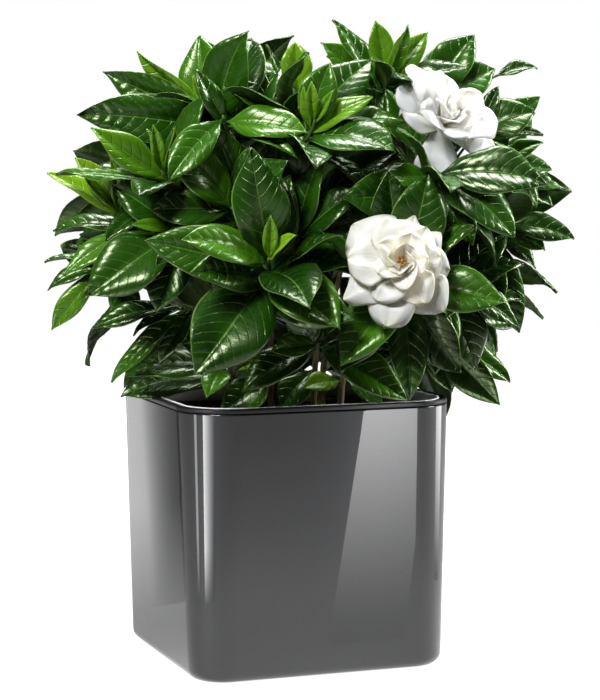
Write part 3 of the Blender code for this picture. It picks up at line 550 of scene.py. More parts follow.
def whorled_leaves(path, end, way, leaves, first, draw):
    """Leaves set round a twig by the golden turn, from its end backwards."""
    across = way.orthogonal().normalized()
    outward = Vector((way.x, way.y, 0.0)).normalized()
    upper = UP * 0.8 + outward * 0.6
    start = draw.uniform(0, 360)
    for number, (tilt, length, width, age) in enumerate(leaves):
        turn = Matrix.Rotation(math.radians(start + GOLDEN_TURN * number), 3, way)
        leaf_way = Matrix.Rotation(math.radians(tilt), 3, turn @ across) @ way
        size = draw.uniform(0.85, 1.1)
        yield leaf_wanted(
            path, first + number, end, leaf_way, length * size, width * size, upper, age, draw)


def ring_shoots(draw):
    """Name, end and way of each shoot that follows the ring rule."""
    for ring, (height, radius, count, first, step) in enumerate(RING_SHOOTS):
        for i in range(count):
            bearing = math.radians(first + step * i + draw.uniform(-6, 6))
            far = radius * draw.uniform(0.92, 1.06)
            out = Vector((math.cos(bearing), math.sin(bearing), 0.0))
            end = Vector((CROWN_CORE.x, CROWN_CORE.y, height + draw.uniform(-0.8, 0.8))) + out * far
            way = (end - CROWN_CORE).normalized() + UP * 0.35
            yield "back_%d_%d" % (ring + 1, i + 1), end, way.normalized()


def flower_whorls(end, axis):
    """Each whorl of a flower as (name, distance of its hub along the axis, hub radius,
    petals)."""
    across = axis.cross(UP).normalized()
    start = TUBE_PROFILE[-1][0] + GAP
    for number, whorl in enumerate(WHORLS):
        name, hub, count, length, width, rise, arch, fold, first, roll = whorl
        foot = start + number * (HUB_HEIGHT + GAP)
        centre = end + axis * (foot + HUB_HEIGHT / 2)
        petals = []
        for i in range(count):
            spin = Matrix.Rotation(math.radians(first + 360 * i / count), 3, axis)
            radial = spin @ across
            lift = math.radians(rise + (PETAL_STAGGER if i % 2 else 0))
            way = radial * math.cos(lift) + axis * math.sin(lift)
            upper = axis * math.cos(lift) - radial * math.sin(lift)
            upper = Matrix.Rotation(math.radians(roll), 3, way) @ upper
            base = centre + radial * (PETAL_SEAT * hub)
            petals.append((base, base + way * length, upper, width, arch, fold, 0.0))
        yield name, foot, hub, petals


def petal_body(petal, thick):
    base, tip, upper, width, arch, fold, _ = petal
    return blade(base, tip, upper, width, arch, fold, petal_outline, PETAL_STATIONS, thick)


def place_flowers(room):
    """Each flower's place and axis, after its tube and petals have taken their room."""
    flowers = {}
    for name in ("flower_front", "flower_top"):
        end, axis = Vector(SHOOTS[name][0]), Vector(SHOOTS[name][1]).normalized()
        flowers[name] = (end, axis)
        room.add(name + "_tube", turned(TUBE_PROFILE, 8, end, axis))
        for _, _, _, petals in flower_whorls(end, axis):
            for petal in petals:
                room.add(name + "_petals", petal_body(petal, GUARD_THICK))
    return flowers


def place_twigs(room, routes, draw):
    """Each shoot's twig as (route, path, end, way)."""
    wanted = [
        (name, Vector(end), Vector(way).normalized()) for name, (end, way, _) in SHOOTS.items()]
    wanted += ring_shoots(draw)
    return {
        name: (*place_twig(room, routes, name, end, way), end, way) for name, end, way in wanted}


def fill_in(room, twigs, shoots, rows, thick, draw, belongs=None):
    """Whorls of leaves behind those that each shoot has, without any that do not belong."""
    for name, (_, path, end, way) in twigs.items():
        if name in OPEN_SHOOTS:
            continue
        leaves = shoots[name][1]
        wanted = whorled_leaves(path, end, way, rows, len(leaves), draw)
        leaves += place_leaves(room, name, filter(belongs, wanted), thick)


def is_inner(leaf):
    tip = leaf[1]
    return tip.x > OPEN_SIDE or tip.z > OPEN_HEIGHT


def lay_out_plant():
    """Every stem, twig, leaf and flower of the plant, in the plant's own frame."""
    room = Room()
    routes = [stem_route(foot, top) for foot, top in STEMS]
    for number, route in enumerate(routes):
        room.add("stem_%d" % number, stem_body(route, TUBE_GUARD))
    flowers = place_flowers(room)
    draw = random.Random(RING_SEED)
    twigs = place_twigs(room, routes, draw)
    shoots = {name: (twig[0], []) for name, twig in twigs.items()}
    for name, (_, path, end, way) in twigs.items():
        if name in SHOOTS:
            wanted = own_leaves(path, end, SHOOTS[name][2], draw)
        else:
            wanted = whorled_leaves(path, end, way, RING_LEAVES, 0, draw)
        shoots[name][1].extend(place_leaves(room, name, wanted))
    fill_in(room, twigs, shoots, FILL_LEAVES, GUARD_THICK, draw)
    fill_in(room, twigs, shoots, INNER_LEAVES, INNER_GUARD, draw, is_inner)
    return routes, shoots, flowers, low_leaves(room, routes, draw)


# Fine meshes -----------------------------------------------------------------------------


class Skin:
    """One mesh in the making: points, faces with their material slot, and numbers on the
    points for its materials to read."""

    def __init__(self):
        self.points = []
        self.faces = []
        self.slots = []
        self.numbers = []
        self.count = 0

    def add(self, mesh, slot=0, **numbers):
        points, faces = mesh
        points = np.array([tuple(point) for point in points]) if isinstance(points, list) else points
        self.faces += [tuple(i + self.count for i in face) for face in faces]
        self.slots += [slot] * len(faces)
        self.points.append(points)
        self.numbers.append((len(points), numbers))
        self.count += len(points)

    def values(self, key):
        return np.concatenate([
            np.broadcast_to(np.asarray(numbers.get(key, 0.0), float), count)
            for count, numbers in self.numbers])

    def piece(self, name, finishes, frame_turn=0.0):
        """The finished object, turned about +Z by frame_turn degrees."""
        data = bpy.data.meshes.new(name)
        turn = np.array(Matrix.Rotation(math.radians(frame_turn), 3, "Z"))
        data.from_pydata((np.concatenate(self.points) @ turn.T * CM).tolist(), [], self.faces)
        for finish in finishes:
            data.materials.append(finish)
        data.polygons.foreach_set("material_index", self.slots)
        for key in sorted({key for _, numbers in self.numbers for key in numbers}):
            data.attributes.new(key, "FLOAT", "POINT").data.foreach_set("value", self.values(key))
        data.shade_smooth()
        piece = bpy.data.objects.new(name, data)
        bpy.context.scene.collection.objects.link(piece)
        return piece


def sheet_faces(rows, columns):
    """Faces of a closed thin sheet: an upper grid, a lower grid after it, and the edge."""
    size = rows * columns
    grid = np.arange(size).reshape(rows, columns)
    a, b, c, d = grid[:-1, :-1], grid[:-1, 1:], grid[1:, 1:], grid[1:, :-1]
    upper = np.stack((a, b, c, d), -1).reshape(-1, 4)
    lower = np.stack((d, c, b, a), -1).reshape(-1, 4) + size
    ring = np.concatenate((grid[0], grid[1:, -1], grid[-1, -2::-1], grid[-2:0:-1, 0]))
    ahead = np.roll(ring, -1)
    edge = np.stack((ring, ring + size, ahead + size, ahead), -1)
    return np.concatenate((upper, lower, edge)).tolist()


def sheet(middle, half_thick):
    """A closed thin sheet about a grid of middle points (rows, columns, 3)."""
    rows, columns = middle.shape[:2]
    normal = np.cross(np.gradient(middle, axis=1), np.gradient(middle, axis=0))
    normal /= np.maximum(np.linalg.norm(normal, axis=2, keepdims=True), 1e-9)
    lift = normal * half_thick[..., None]
    points = np.concatenate(((middle + lift).reshape(-1, 3), (middle - lift).reshape(-1, 3)))
    return points, sheet_faces(rows, columns)


def both_sides(values, rows, columns):
    """Numbers on a grid, for the upper and the lower points of its sheet."""
    return np.tile(np.broadcast_to(values, (rows, columns)).ravel(), 2)


def under_side(rows, columns):
    return np.repeat((0.0, 1.0), rows * columns)


def blade_frame(piece):
    """Base and chord of a blade, and unit vectors along it, to its side and out of it."""
    base, tip, upper = piece[:3]
    chord = tip - base
    along = chord.normalized()
    normal = (upper - along * upper.dot(along)).normalized()
    return [np.array(v) for v in (base, chord, along, along.cross(normal), normal)]


def smooth(low, high, value):
    share = np.clip((value - low) / (high - low), 0.0, 1.0)
    return share * share * (3 - 2 * share)


def arched(blade, u, sway):
    """Points along a blade's bent middle line and unit vectors out of it, for a column u."""
    base, chord, along, side, normal = blade_frame(blade)
    length = float(np.linalg.norm(chord))
    bow = length * math.radians(blade[4]) / 8
    spine = base + chord * u[..., None] + normal * (4 * bow * u * (1 - u))[..., None]
    spine = spine + side * (4 * sway * u**1.5 * (1 - u))[..., None]
    ahead = along + normal * (4 * bow * (1 - 2 * u) / length)[..., None]
    ahead /= np.linalg.norm(ahead, axis=2, keepdims=True)
    return spine, side, np.cross(np.broadcast_to(side, ahead.shape), ahead), length


# Leaves ----------------------------------------------------------------------------------

LEAF_COLUMNS = 15
LEAF_ROWS_PER_CM = 7.5
LEAF_ROWS_LEAST = 16
RIBS_PER_CM = 1.25
RIB_SWEEP = 0.55  # how far a side rib runs towards the tip, per distance from the midrib
FINE_LEAF_HALF = 0.017  # half thickness of the blade
MIDRIB_HALF = 0.08  # half width of the midrib's ridge below
LEAF_FULLNESS = 1.08  # width of the fine leaf, as a share of the CAD leaf's
LEAF_SWAY = 0.28
LEAF_TWIST = 22  # degrees
LEAF_PUCKER = 0.018  # of its length, between the side ribs
LEAF_GROOVE = (0.045, 0.09)  # depth and half width over the midrib
LEAF_WAVE = (0.014, 0.016)  # of its length, and what age adds
LEAF_BEATS = (10.7, 11.9)  # waves along the two margins, in radians per length


def fine_leaf_outline(u):
    """Half width as a share of the widest: a stalk, a wedge, full past the middle, then a
    drawn-out point."""
    body = np.sin(math.pi * u**1.1).clip(0) ** 0.85
    return body * smooth(0.0, 0.2, u) ** 0.6 * (1 - 0.3 * u**14)


def add_leaf(skin, leaf, draw):
    """A leaf with its midrib, side ribs, puckered blade between them and wavy margin."""
    width, fold, age = leaf[3] * LEAF_FULLNESS, leaf[5], leaf[6]
    rows = max(LEAF_ROWS_LEAST, int((leaf[1] - leaf[0]).length * LEAF_ROWS_PER_CM))
    u = np.linspace(0, 1, rows)[:, None]
    even = np.linspace(-1, 1, LEAF_COLUMNS)[None, :]
    v = 0.6 * np.sin(even * math.pi / 2) + 0.4 * even
    spine, side, out, length = arched(leaf, u, draw.uniform(-LEAF_SWAY, LEAF_SWAY))
    narrowest = PETIOLE_HALF * (1 - 0.8 * smooth(0.9, 1.0, u))
    half = np.maximum(width / 2 * fine_leaf_outline(u), narrowest)
    reach = half * v
    away = np.abs(v)

    rib = RIBS_PER_CM * (1 + 0.9 / length) * (
        u * length - RIB_SWEEP * np.abs(reach) - reach**2 / width)
    cup = half * math.sin(math.radians(fold)) * away * (1.25 - 0.5 * away**2) - 0.1 * half * away**4
    pucker = LEAF_PUCKER * length * (0.35 + 0.65 * age) * np.abs(np.sin(math.pi * rib)) ** 0.8
    pucker = pucker * away / (away + 0.18) * (1 - 0.75 * away**5)
    pucker = pucker * smooth(0.02, 0.15, u) * smooth(1, 0.86, u)
    groove = LEAF_GROOVE[0] * np.exp(-((reach / LEAF_GROOVE[1]) ** 2)) * smooth(0.0, 0.1, u)
    phase = [draw.uniform(0, 2 * math.pi) for _ in LEAF_BEATS]
    beats = [np.sin(beat * u + start) for beat, start in zip(LEAF_BEATS, phase)]
    height = (LEAF_WAVE[0] + LEAF_WAVE[1] * age) * length * draw.uniform(0.5, 1.2)
    wave = height * away**2.5 * np.where(v > 0, *beats) * smooth(0.05, 0.3, u)
    lift = cup + pucker - groove + wave

    turn = math.radians(draw.uniform(-LEAF_TWIST, LEAF_TWIST)) * (u - 0.25)
    sideways = reach * math.cos(math.radians(fold))
    across = sideways * np.cos(turn) - lift * np.sin(turn)
    lift = sideways * np.sin(turn) + lift * np.cos(turn)
    middle = spine + side * across[..., None] + out * lift[..., None]

    ridge = 1 + 1.6 * np.exp(-((reach / MIDRIB_HALF) ** 2))
    thick = FINE_LEAF_HALF * ridge * (1 - 0.6 * away**6)
    stalk = PETIOLE_HALF * 0.8 * np.sqrt(np.maximum(1 - v**2, 0.05)) * smooth(0.09, 0.05, u)
    grid = (rows, LEAF_COLUMNS)
    skin.add(
        sheet(middle, np.maximum(thick, stalk)), along=both_sides(u, *grid), across=both_sides(v, *grid),
        rib=both_sides(rib, *grid), under=under_side(*grid), age=age, tint=draw.random())


# Leaves low on the stems, over the soil: the stem, height, then as for the shoots' leaves
LOW_LEAVES = [
    (0, 16.4, 262, 12, 6.6, 3.3, 66, 0.85), (2, 17.3, 250, 22, 5.4, 2.4, 62, 0.9),
    (1, 17.0, 232, 30, 4.2, 2.2, 62, 0.8), (2, 16.9, 222, 34, 3.6, 1.9, 60, 0.9),
    (3, 16.6, 262, 30, 2.6, 1.5, 55, 0.3), (1, 18.4, 246, 30, 2.4, 1.4, 60, 0.2),
    (3, 17.6, 140, 34, 4.4, 2.2, 60, 0.8), (5, 17.0, 70, -10, 5.0, 2.5, 50, 1.0),
    (3, 19.2, 80, 0, 4.8, 2.4, 55, 0.9), (1, 20.0, 310, 10, 4.6, 2.3, 60, 0.9),
]
SOIL_CLEAR = 0.35
RIM_CLEAR = (0.15, 0.12)  # inwards and upwards


def clears_soil(points):
    """True where no point touches the rim or the soil."""
    turn = Matrix.Rotation(math.radians(PLANT_TURN), 3, "Z")
    inside = POT_TOP_HALF - RIM_WIDTH - RIM_CLEAR[0]
    for point in points:
        world = turn @ point
        across = max(abs(world.x), abs(world.y))
        if point.z < SOIL_LEVEL + SOIL_CLEAR and across < KEEP_OUT_HALF:
            return False
        if point.z < POT_HEIGHT + RIM_CLEAR[1] and inside < across < KEEP_OUT_HALF:
            return False
    return True


def low_leaves(room, routes, draw):
    """The low leaves, each from its stem's side."""
    leaves = []
    for number, height, clock, lean, length, width, face, age in LOW_LEAVES:
        route = routes[number]
        share = min(SITE_SHARES, key=lambda share: abs(curve(*route, share).z - height))
        way = clock_way(clock, lean)
        start = curve(*route, share) + way * (stem_radius(share) + 0.02)
        arch = YOUNG_ARCH + (OLD_ARCH - YOUNG_ARCH) * age + draw.uniform(-4, 12)
        leaf = (start, start + way * length, facing(face), width, arch, OLD_FOLD, age)
        placed = place_leaf(room, "stem_%d" % number, leaf, INNER_GUARD, clears_soil)
        leaves += [placed] if placed else []
    return leaves


FINE_TWIG_SPANS = 20
FINE_TWIG_SIDES = 9
TWIG_NODE = (0.025, 0.12)  # how far a twig swells under a leaf, and over what length


def add_twig(skin, route, leaves, slot):
    """A twig, swollen a little where each leaf leaves it."""
    shares, path = walked(route, FINE_TWIG_SPANS)
    radii = []
    for point, share in zip(path, shares):
        near = sum(math.exp(-(((leaf[0] - point).length / TWIG_NODE[1]) ** 2)) for leaf in leaves)
        taper = TWIG_BASE_RADIUS + (TWIG_TIP_RADIUS - TWIG_BASE_RADIUS) * share
        radii.append(taper + TWIG_NODE[0] * min(near, 1.0))
    along = np.repeat(shares, FINE_TWIG_SIDES)
    skin.add(tube(path, radii, FINE_TWIG_SIDES), slot, along=along)


def leaves_skin(name, leaves):
    draw = random.Random(name)
    skin = Skin()
    for leaf in leaves:
        add_leaf(skin, leaf, draw)
    return skin


def shoot_piece(name, route, leaves, finishes):
    skin = leaves_skin(name, leaves)
    add_twig(skin, route, leaves, 1)
    return skin.piece("foliage_" + name, [finishes["leaf"], finishes["twig"]], PLANT_TURN)


# Flowers ---------------------------------------------------------------------------------

PETAL_COLUMNS = 21
PETAL_ROWS = 26
FINE_PETAL_HALF = 0.022  # half thickness

# The petals of each whorl as they really lie: clock in degrees seen from the front, rise
# from the flower's face, length, width, arch, fold, roll, and how pointed the tip is
FINE_PETALS = {
    "flower_front": {
        "outer_petals": [
            (312, 6, 3.7, 3.6, 46, 4, 6, 0.3), (11, 0, 2.95, 2.6, 40, 2, 12, 1.2),
            (46, 5, 2.7, 2.4, 36, 4, 10, 1.2), (95, 0, 2.45, 2.6, 44, 3, 12, 0.4),
            (140, 4, 3.25, 2.8, 40, 2, 8, 0.8), (194, 14, 3.5, 3.0, 34, 3, 10, 0.3),
            (241, 8, 3.7, 2.8, 44, 2, 12, 0.9)],
        "middle_petals": [
            (340, 20, 2.6, 2.7, 44, 8, 10, 0.3), (33, 22, 2.35, 2.3, 36, 8, 12, 0.5),
            (84, 24, 2.1, 2.4, 40, 8, 10, 0.2), (152, 20, 2.55, 2.5, 44, 6, 12, 0.8),
            (214, 22, 2.5, 2.6, 40, 8, 10, 0.3), (276, 20, 3.0, 3.0, 44, 8, 8, 0.2)],
        "inner_petals": [
            (20, 42, 1.85, 1.9, 26, 16, 16, 0.2), (92, 46, 1.75, 1.8, 20, 18, 16, 0.2),
            (165, 42, 1.85, 1.9, 26, 18, 16, 0.4), (238, 46, 1.75, 1.9, 20, 16, 16, 0.2),
            (308, 44, 1.8, 2.0, 24, 18, 16, 0.2)],
        "heart_petals": [
            (10, 50, 1.2, 1.45, 6, 20, 18, 0.2), (100, 54, 1.1, 1.4, 6, 22, 18, 0.2),
            (190, 50, 1.15, 1.45, 6, 20, 18, 0.2), (280, 54, 1.1, 1.4, 6, 22, 18, 0.2)]},
    "flower_top": {
        "outer_petals": [
            (300, 22, 3.3, 2.6, 34, 6, -10, 0.1), (338, 28, 3.9, 2.2, 26, 8, 0, 0.3),
            (18, 12, 3.3, 2.4, 30, 6, 10, 0.5), (68, 8, 3.5, 2.6, 34, 4, 14, 0.6),
            (108, 14, 3.3, 3.2, 40, 2, 0, 0.2), (196, -4, 2.9, 2.5, 16, -4, 0, -0.6),
            (262, 20, 2.6, 2.4, 40, 6, -8, 0.1)],
        "middle_petals": [
            (318, 44, 3.1, 2.9, 24, 14, -8, 0.1), (2, 40, 3.0, 2.2, 20, 16, 12, 0.4),
            (50, 34, 3.0, 2.4, 26, 12, 12, 0.4), (92, 34, 3.1, 2.8, 34, 10, 6, 0.2),
            (170, 40, 2.1, 2.6, 36, 14, 6, 0.1), (245, 44, 2.4, 2.6, 30, 14, -8, 0.1)],
        "inner_petals": [
            (340, 60, 2.5, 2.1, 8, 26, 18, 0.2), (45, 56, 2.3, 2.0, 10, 26, 18, 0.2),
            (105, 54, 2.1, 2.1, 14, 24, 18, 0.2), (190, 58, 1.7, 2.0, 14, 26, 18, 0.2),
            (265, 60, 2.0, 2.1, 10, 26, 18, 0.2)],
        "heart_petals": [
            (0, 76, 1.7, 1.2, -8, 34, 24, 0.3), (90, 72, 1.5, 1.2, -8, 34, 24, 0.3),
            (180, 74, 1.2, 1.1, -6, 32, 24, 0.2), (270, 76, 1.5, 1.2, -8, 34, 24, 0.3)]}}


def fine_petals(name, whorl, end, axis, foot, hub):
    centre = end + axis * (foot + HUB_HEIGHT / 2)
    for clock, rise, length, width, arch, fold, roll, point in FINE_PETALS[name][whorl]:
        flat = clock_way(clock, 0)
        radial = (flat - axis * flat.dot(axis)).normalized()
        lift = math.radians(rise)
        way = radial * math.cos(lift) + axis * math.sin(lift)
        upper = Matrix.Rotation(math.radians(roll), 3, way) @ (
            axis * math.cos(lift) - radial * math.sin(lift))
        base = centre + radial * (PETAL_SEAT * hub)
        yield (base, base + way * length, upper, width, arch, fold), point


def fine_petal_outline(u, point):
    """Half width as a share of the widest; point draws the end in, or spreads it below 0."""
    body = np.minimum(1.0, 0.3 + 1.3 * u) * np.sqrt(np.maximum(1 - u**7, 0.0))
    return body * (1 - 0.5 * point * smooth(0.5, 1.0, u))


def add_petal(skin, petal, point, curl, ruffle, draw):
    """A petal cupped along its middle, with its margin curled by curl and ruffled."""
    width, fold = petal[3], petal[5]
    u = (1 - (1 - np.linspace(0, 1, PETAL_ROWS)) ** 1.7)[:, None]
    v = np.linspace(-1, 1, PETAL_COLUMNS)[None, :]
    spine, side, out, length = arched(petal, u, draw.uniform(-0.06, 0.06))
    half = np.maximum(width / 2 * fine_petal_outline(u, point), 0.02)
    away = np.abs(v)
    phase = [draw.uniform(0, 2 * math.pi) for _ in range(5)]
    cup = half * math.sin(math.radians(fold)) * away**1.4
    sides = -curl * width / 2 * away**2.6 * smooth(0.3, 0.95, u)
    end = -0.22 * curl * length * smooth(0.7, 1.0, u) * (1 - 0.6 * away**2)
    beat = np.sin(5.5 * u + 1.6 * v + phase[0]) + 0.6 * np.sin(11 * u - 2.4 * v + phase[1])
    ripple = ruffle * (away**2 * smooth(0.2, 0.7, u) + 0.7 * smooth(0.7, 1.0, u)) * beat
    crease = 0.03 * np.sin(7 * v + phase[2]) * smooth(0.1, 0.5, u)
    keel = 0.05 * np.exp(-((v / 0.2) ** 2)) * smooth(0.1, 0.4, u)
    lift = cup + sides + end + ripple + crease - keel
    notch = 1 + 0.05 * np.sin(9 * u + phase[3]) * away**2
    across = half * v * math.cos(math.radians(fold)) * notch
    middle = spine + side * across[..., None] + out * lift[..., None]
    thick = FINE_PETAL_HALF * (1 - 0.5 * away**6) * np.ones_like(u)
    grid = (PETAL_ROWS, PETAL_COLUMNS)
    skin.add(
        sheet(middle, thick), along=both_sides(u, *grid), across=both_sides(v, *grid),
        tint=draw.random())


# Each whorl: how far its margins curl back and how deep they are ruffled
WHORL_LOOKS = {
    "outer_petals": (0.42, 0.09), "middle_petals": (0.34, 0.09), "inner_petals": (0.16, 0.07),
    "heart_petals": (-0.1, 0.04)}


def whorl_piece(name, whorl, end, axis, foot, radius, finish):
    draw = random.Random(name + whorl)
    skin = Skin()
    curl, ruffle = WHORL_LOOKS[whorl]
    for petal, point in fine_petals(name, whorl, end, axis, foot, radius):
        add_petal(skin, petal, point, curl, ruffle, draw)
    skin.add(turned(((foot, radius), (foot + HUB_HEIGHT, radius * 0.8)), 12, end, axis), along=0.0)
    return skin.piece("%s_%s_fine" % (name, whorl), [finish], PLANT_TURN)


# The green throat as (distance along the axis, radius), and its lobes: how many, and the
# distance along the axis and from it of their feet and tips
THROAT = (
    (0.02, 0.08), (0.12, 0.2), (0.25, 0.255), (0.5, 0.255), (0.8, 0.235), (1.15, 0.195),
    (1.5, 0.165), (1.75, 0.2), (1.93, 0.29))
THROAT_SIDES = 20
LOBES = 5
LOBE_FOOT = (0.55, 0.22)
LOBE_TIP = (1.6, 0.42)
LOBE_STATIONS = (0.0, 0.2, 0.45, 0.7, 0.9)


def tube_piece(name, end, axis, finish):
    """The green throat under the petals: a tube in a calyx with narrow lobes."""
    skin = Skin()
    shares = [along / THROAT[-1][0] for along, _ in THROAT]
    skin.add(turned(THROAT, THROAT_SIDES, end, axis), along=np.repeat(shares, THROAT_SIDES))
    across = axis.cross(UP).normalized()
    for i in range(LOBES):
        radial = Matrix.Rotation(2 * math.pi * i / LOBES, 3, axis) @ across
        low, high = (end + axis * up + radial * out for up, out in (LOBE_FOOT, LOBE_TIP))
        skin.add(blade(low, high, radial, 0.26, -20, 10, leaf_outline, LOBE_STATIONS, 0.05), along=0.6)
    return skin.piece(name + "_calyx", [finish], PLANT_TURN)


STIGMA = ((0.0, 0.05), (0.25, 0.055), (0.42, 0.085), (0.55, 0.075), (0.62, 0.02))
ANTHER_RADII = (0.03, 0.085, 0.075, 0.02)
ANTHER_LEAN = 0.45
ANTHER_BOW = 0.06


def stamens_piece(name, end, axis, finish):
    """Slim amber anthers round a club-shaped stigma."""
    skin = Skin()
    foot = TUBE_PROFILE[-1][0] + GAP + len(WHORLS) * (HUB_HEIGHT + GAP)
    skin.add(turned(STIGMA, 12, end + axis * foot, axis), along=1.0)
    across = axis.cross(UP).normalized()
    for i in range(STAMENS):
        radial = Matrix.Rotation(2 * math.pi * (i + 0.3) / STAMENS, 3, axis) @ across
        start = end + axis * (foot + STAMEN_FOOT)
        way = (axis + radial * ANTHER_LEAN).normalized() * STAMEN_LENGTH
        bow = radial * ANTHER_BOW
        path = [start, start + way * 0.35 + bow, start + way * 0.7 + bow, start + way]
        skin.add(tube(path, ANTHER_RADII, 8), along=0.3)
    return skin.piece(name + "_anthers", [finish], PLANT_TURN)


# Stems -----------------------------------------------------------------------------------

FINE_STEM_SPANS = 60
FINE_STEM_SIDES = 14
NODE_STEP = 1.7
NODE_RING = (0.03, 0.11)  # height and half width
STEM_FLARE = (0.1, 0.4)  # radius at the soil, and how far up it fades
BARK_ROUGH = 0.006
BARK_INSET = 0.012  # so that the rings stay near the CAD stem's radius


def stem_piece(number, route, finish):
    """A woody stem, flared at the soil and ringed where leaves once stood."""
    draw = random.Random(number)
    shares, path = walked(route, FINE_STEM_SPANS)
    radii = []
    gone = 0.0
    for i, share in enumerate(shares):
        gone += (path[i] - path[i - 1]).length if i else 0.0
        off = (gone + number) % NODE_STEP - 0.5 * NODE_STEP
        ring = NODE_RING[0] * math.exp(-((off / NODE_RING[1]) ** 2))
        flare = STEM_FLARE[0] * math.exp(-gone / STEM_FLARE[1])
        radius = stem_radius(share) - BARK_INSET + ring + flare
        radii.append(radius + draw.uniform(-BARK_ROUGH, BARK_ROUGH))
    skin = Skin()
    skin.add(tube(path, radii, FINE_STEM_SIDES), along=np.repeat(shares, FINE_STEM_SIDES))
    return skin.piece("bark_stem_%d" % (number + 1), [finish], PLANT_TURN)


# Planter, liner and soil -----------------------------------------------------------------

FINE_CORNER_STEPS = 28
EDGE_STEPS = 5
BASE_EDGE_STEPS = 12
WALL_STEPS = 12
WALL_GUARD = 0.1  # height of a narrow last span, which keeps the shading above it off the wall
WALL_EDGE = 0.05  # radius
BEAD = 0.08  # radius of the bead round the liner's inner edge
BEAD_STEPS = 8
FINE_RIM_BAND = 0.3


def wall_half(height):
    return POT_BASE_HALF + (POT_TOP_HALF - POT_BASE_HALF) * height / POT_HEIGHT


def wall_corner(height):
    return BASE_CORNER + (TOP_CORNER - BASE_CORNER) * height / POT_HEIGHT


def rounded_edge(half, corner, height, radius):
    """Rings up an outer edge of that radius, its centre that far in and below."""
    rings = []
    for i in range(EDGE_STEPS + 1):
        angle = math.radians(90 * i / EDGE_STEPS)
        inset = radius * (1 - math.cos(angle))
        rings.append((half - inset, corner - inset, height - radius * (1 - math.sin(angle))))
    return rings


def planter_piece(finish):
    top = POT_HEIGHT - FINE_RIM_BAND - GAP
    rings = []
    for step in range(BASE_EDGE_STEPS + 1):
        angle = math.radians(90 * step / BASE_EDGE_STEPS)
        inset = BASE_EDGE * (1 - math.sin(angle))
        rings.append((POT_BASE_HALF - inset, BASE_CORNER - inset, BASE_EDGE * (1 - math.cos(angle))))
    for step in range(1, WALL_STEPS):
        height = BASE_EDGE + (top - BASE_EDGE) * step / WALL_STEPS
        rings.append((wall_half(height), wall_corner(height), height))
    last = top - WALL_GUARD
    rings.append((wall_half(last), wall_corner(last), last))
    rings += rounded_edge(wall_half(top), wall_corner(top), top, WALL_EDGE)
    for height in (top, last, top - 0.3, top - 2.0, FLOOR + 0.3, FLOOR):
        rings.append((wall_half(height) - WALL, wall_corner(height) - WALL, height))
    skin = Skin()
    skin.add(loft([rounded_square(*ring) for ring in rings]))
    return skin.piece("planter_shell", [finish])


def liner_piece(finish):
    """The inner pot: a rim band with a bead at its inner edge, over a plain tapering body. The bead is
    marked so that its finish paints a highlight on it.
    """
    under = POT_HEIGHT - FINE_RIM_BAND
    skirt = under - RIM_SKIRT
    outer = wall_half(under) - WALL - GAP
    inner = POT_TOP_HALF - RIM_WIDTH
    deep = POT_HEIGHT - 0.05
    rings = [(LINER_BASE_HALF - 0.1, LINER_BASE_CORNER - 0.1, LINER_BASE),
             (LINER_BASE_HALF, LINER_BASE_CORNER, LINER_BASE + 0.1),
             (outer - RIM_EDGE, TOP_CORNER - WALL - RIM_EDGE, skirt),
             (outer, TOP_CORNER - WALL, under - 0.02),
             (POT_TOP_HALF - 0.06, TOP_CORNER - 0.06, under),
             (POT_TOP_HALF, TOP_CORNER, under + 0.04)]
    rings += rounded_edge(POT_TOP_HALF, TOP_CORNER, POT_HEIGHT, RIM_EDGE)
    rings += [(POT_TOP_HALF - 0.16, TOP_CORNER - 0.16, POT_HEIGHT),
              (POT_TOP_HALF - 0.2, TOP_CORNER - 0.2, deep),
              (inner + 2 * BEAD, TOP_CORNER - RIM_WIDTH + 2 * BEAD, deep)]
    for step in range(BEAD_STEPS + 1):
        angle = math.pi * step / BEAD_STEPS
        inset = BEAD * (1 + math.cos(angle))
        height = POT_HEIGHT - BEAD + BEAD * math.sin(angle)
        rings.append((inner + inset, TOP_CORNER - RIM_WIDTH + inset, height))
    rings += [(inner, TOP_CORNER - RIM_WIDTH, skirt),
              (LINER_BASE_HALF - LINER_WALL, LINER_BASE_CORNER - LINER_WALL, LINER_BASE + LINER_WALL)]
    skin = Skin()
    # the bead's rings, marked for the painted highlight that stands for the glint along the inner edge
    bead = [abs(ring[0] - inner - BEAD) <= BEAD and ring[2] > deep - BEAD for ring in rings]
    per_ring = 4 * (FINE_CORNER_STEPS + 1)
    skin.add(loft([rounded_square(*ring) for ring in rings]), bead=np.repeat(bead, per_ring))
    return skin.piece("liner_rim", [finish])


SOIL_SPANS = 36
SOIL_RAISE = 0.04
# height, how many per centimetre, and a slice of the noise, for lumps, crumbs and grain
SOIL_LUMPS = ((0.16, 0.9, 3.1), (0.09, 2.6, 7.7), (0.045, 8.0, 1.3))
CHIPS = 420
CHIP_ROUND = ((-1, -0.4), (0.2, -1), (1, -0.2), (0.7, 1), (-0.6, 0.9))
CHIP_SHARES = (-1.0, -0.6, 0.5, 1.0)


def soil_lie(x, y):
    """The height of the lumpy potting mix."""
    lumps = [rise * noise.noise((x * fine, y * fine, layer)) for rise, fine, layer in SOIL_LUMPS]
    return SOIL_LEVEL + SOIL_RAISE + sum(lumps)


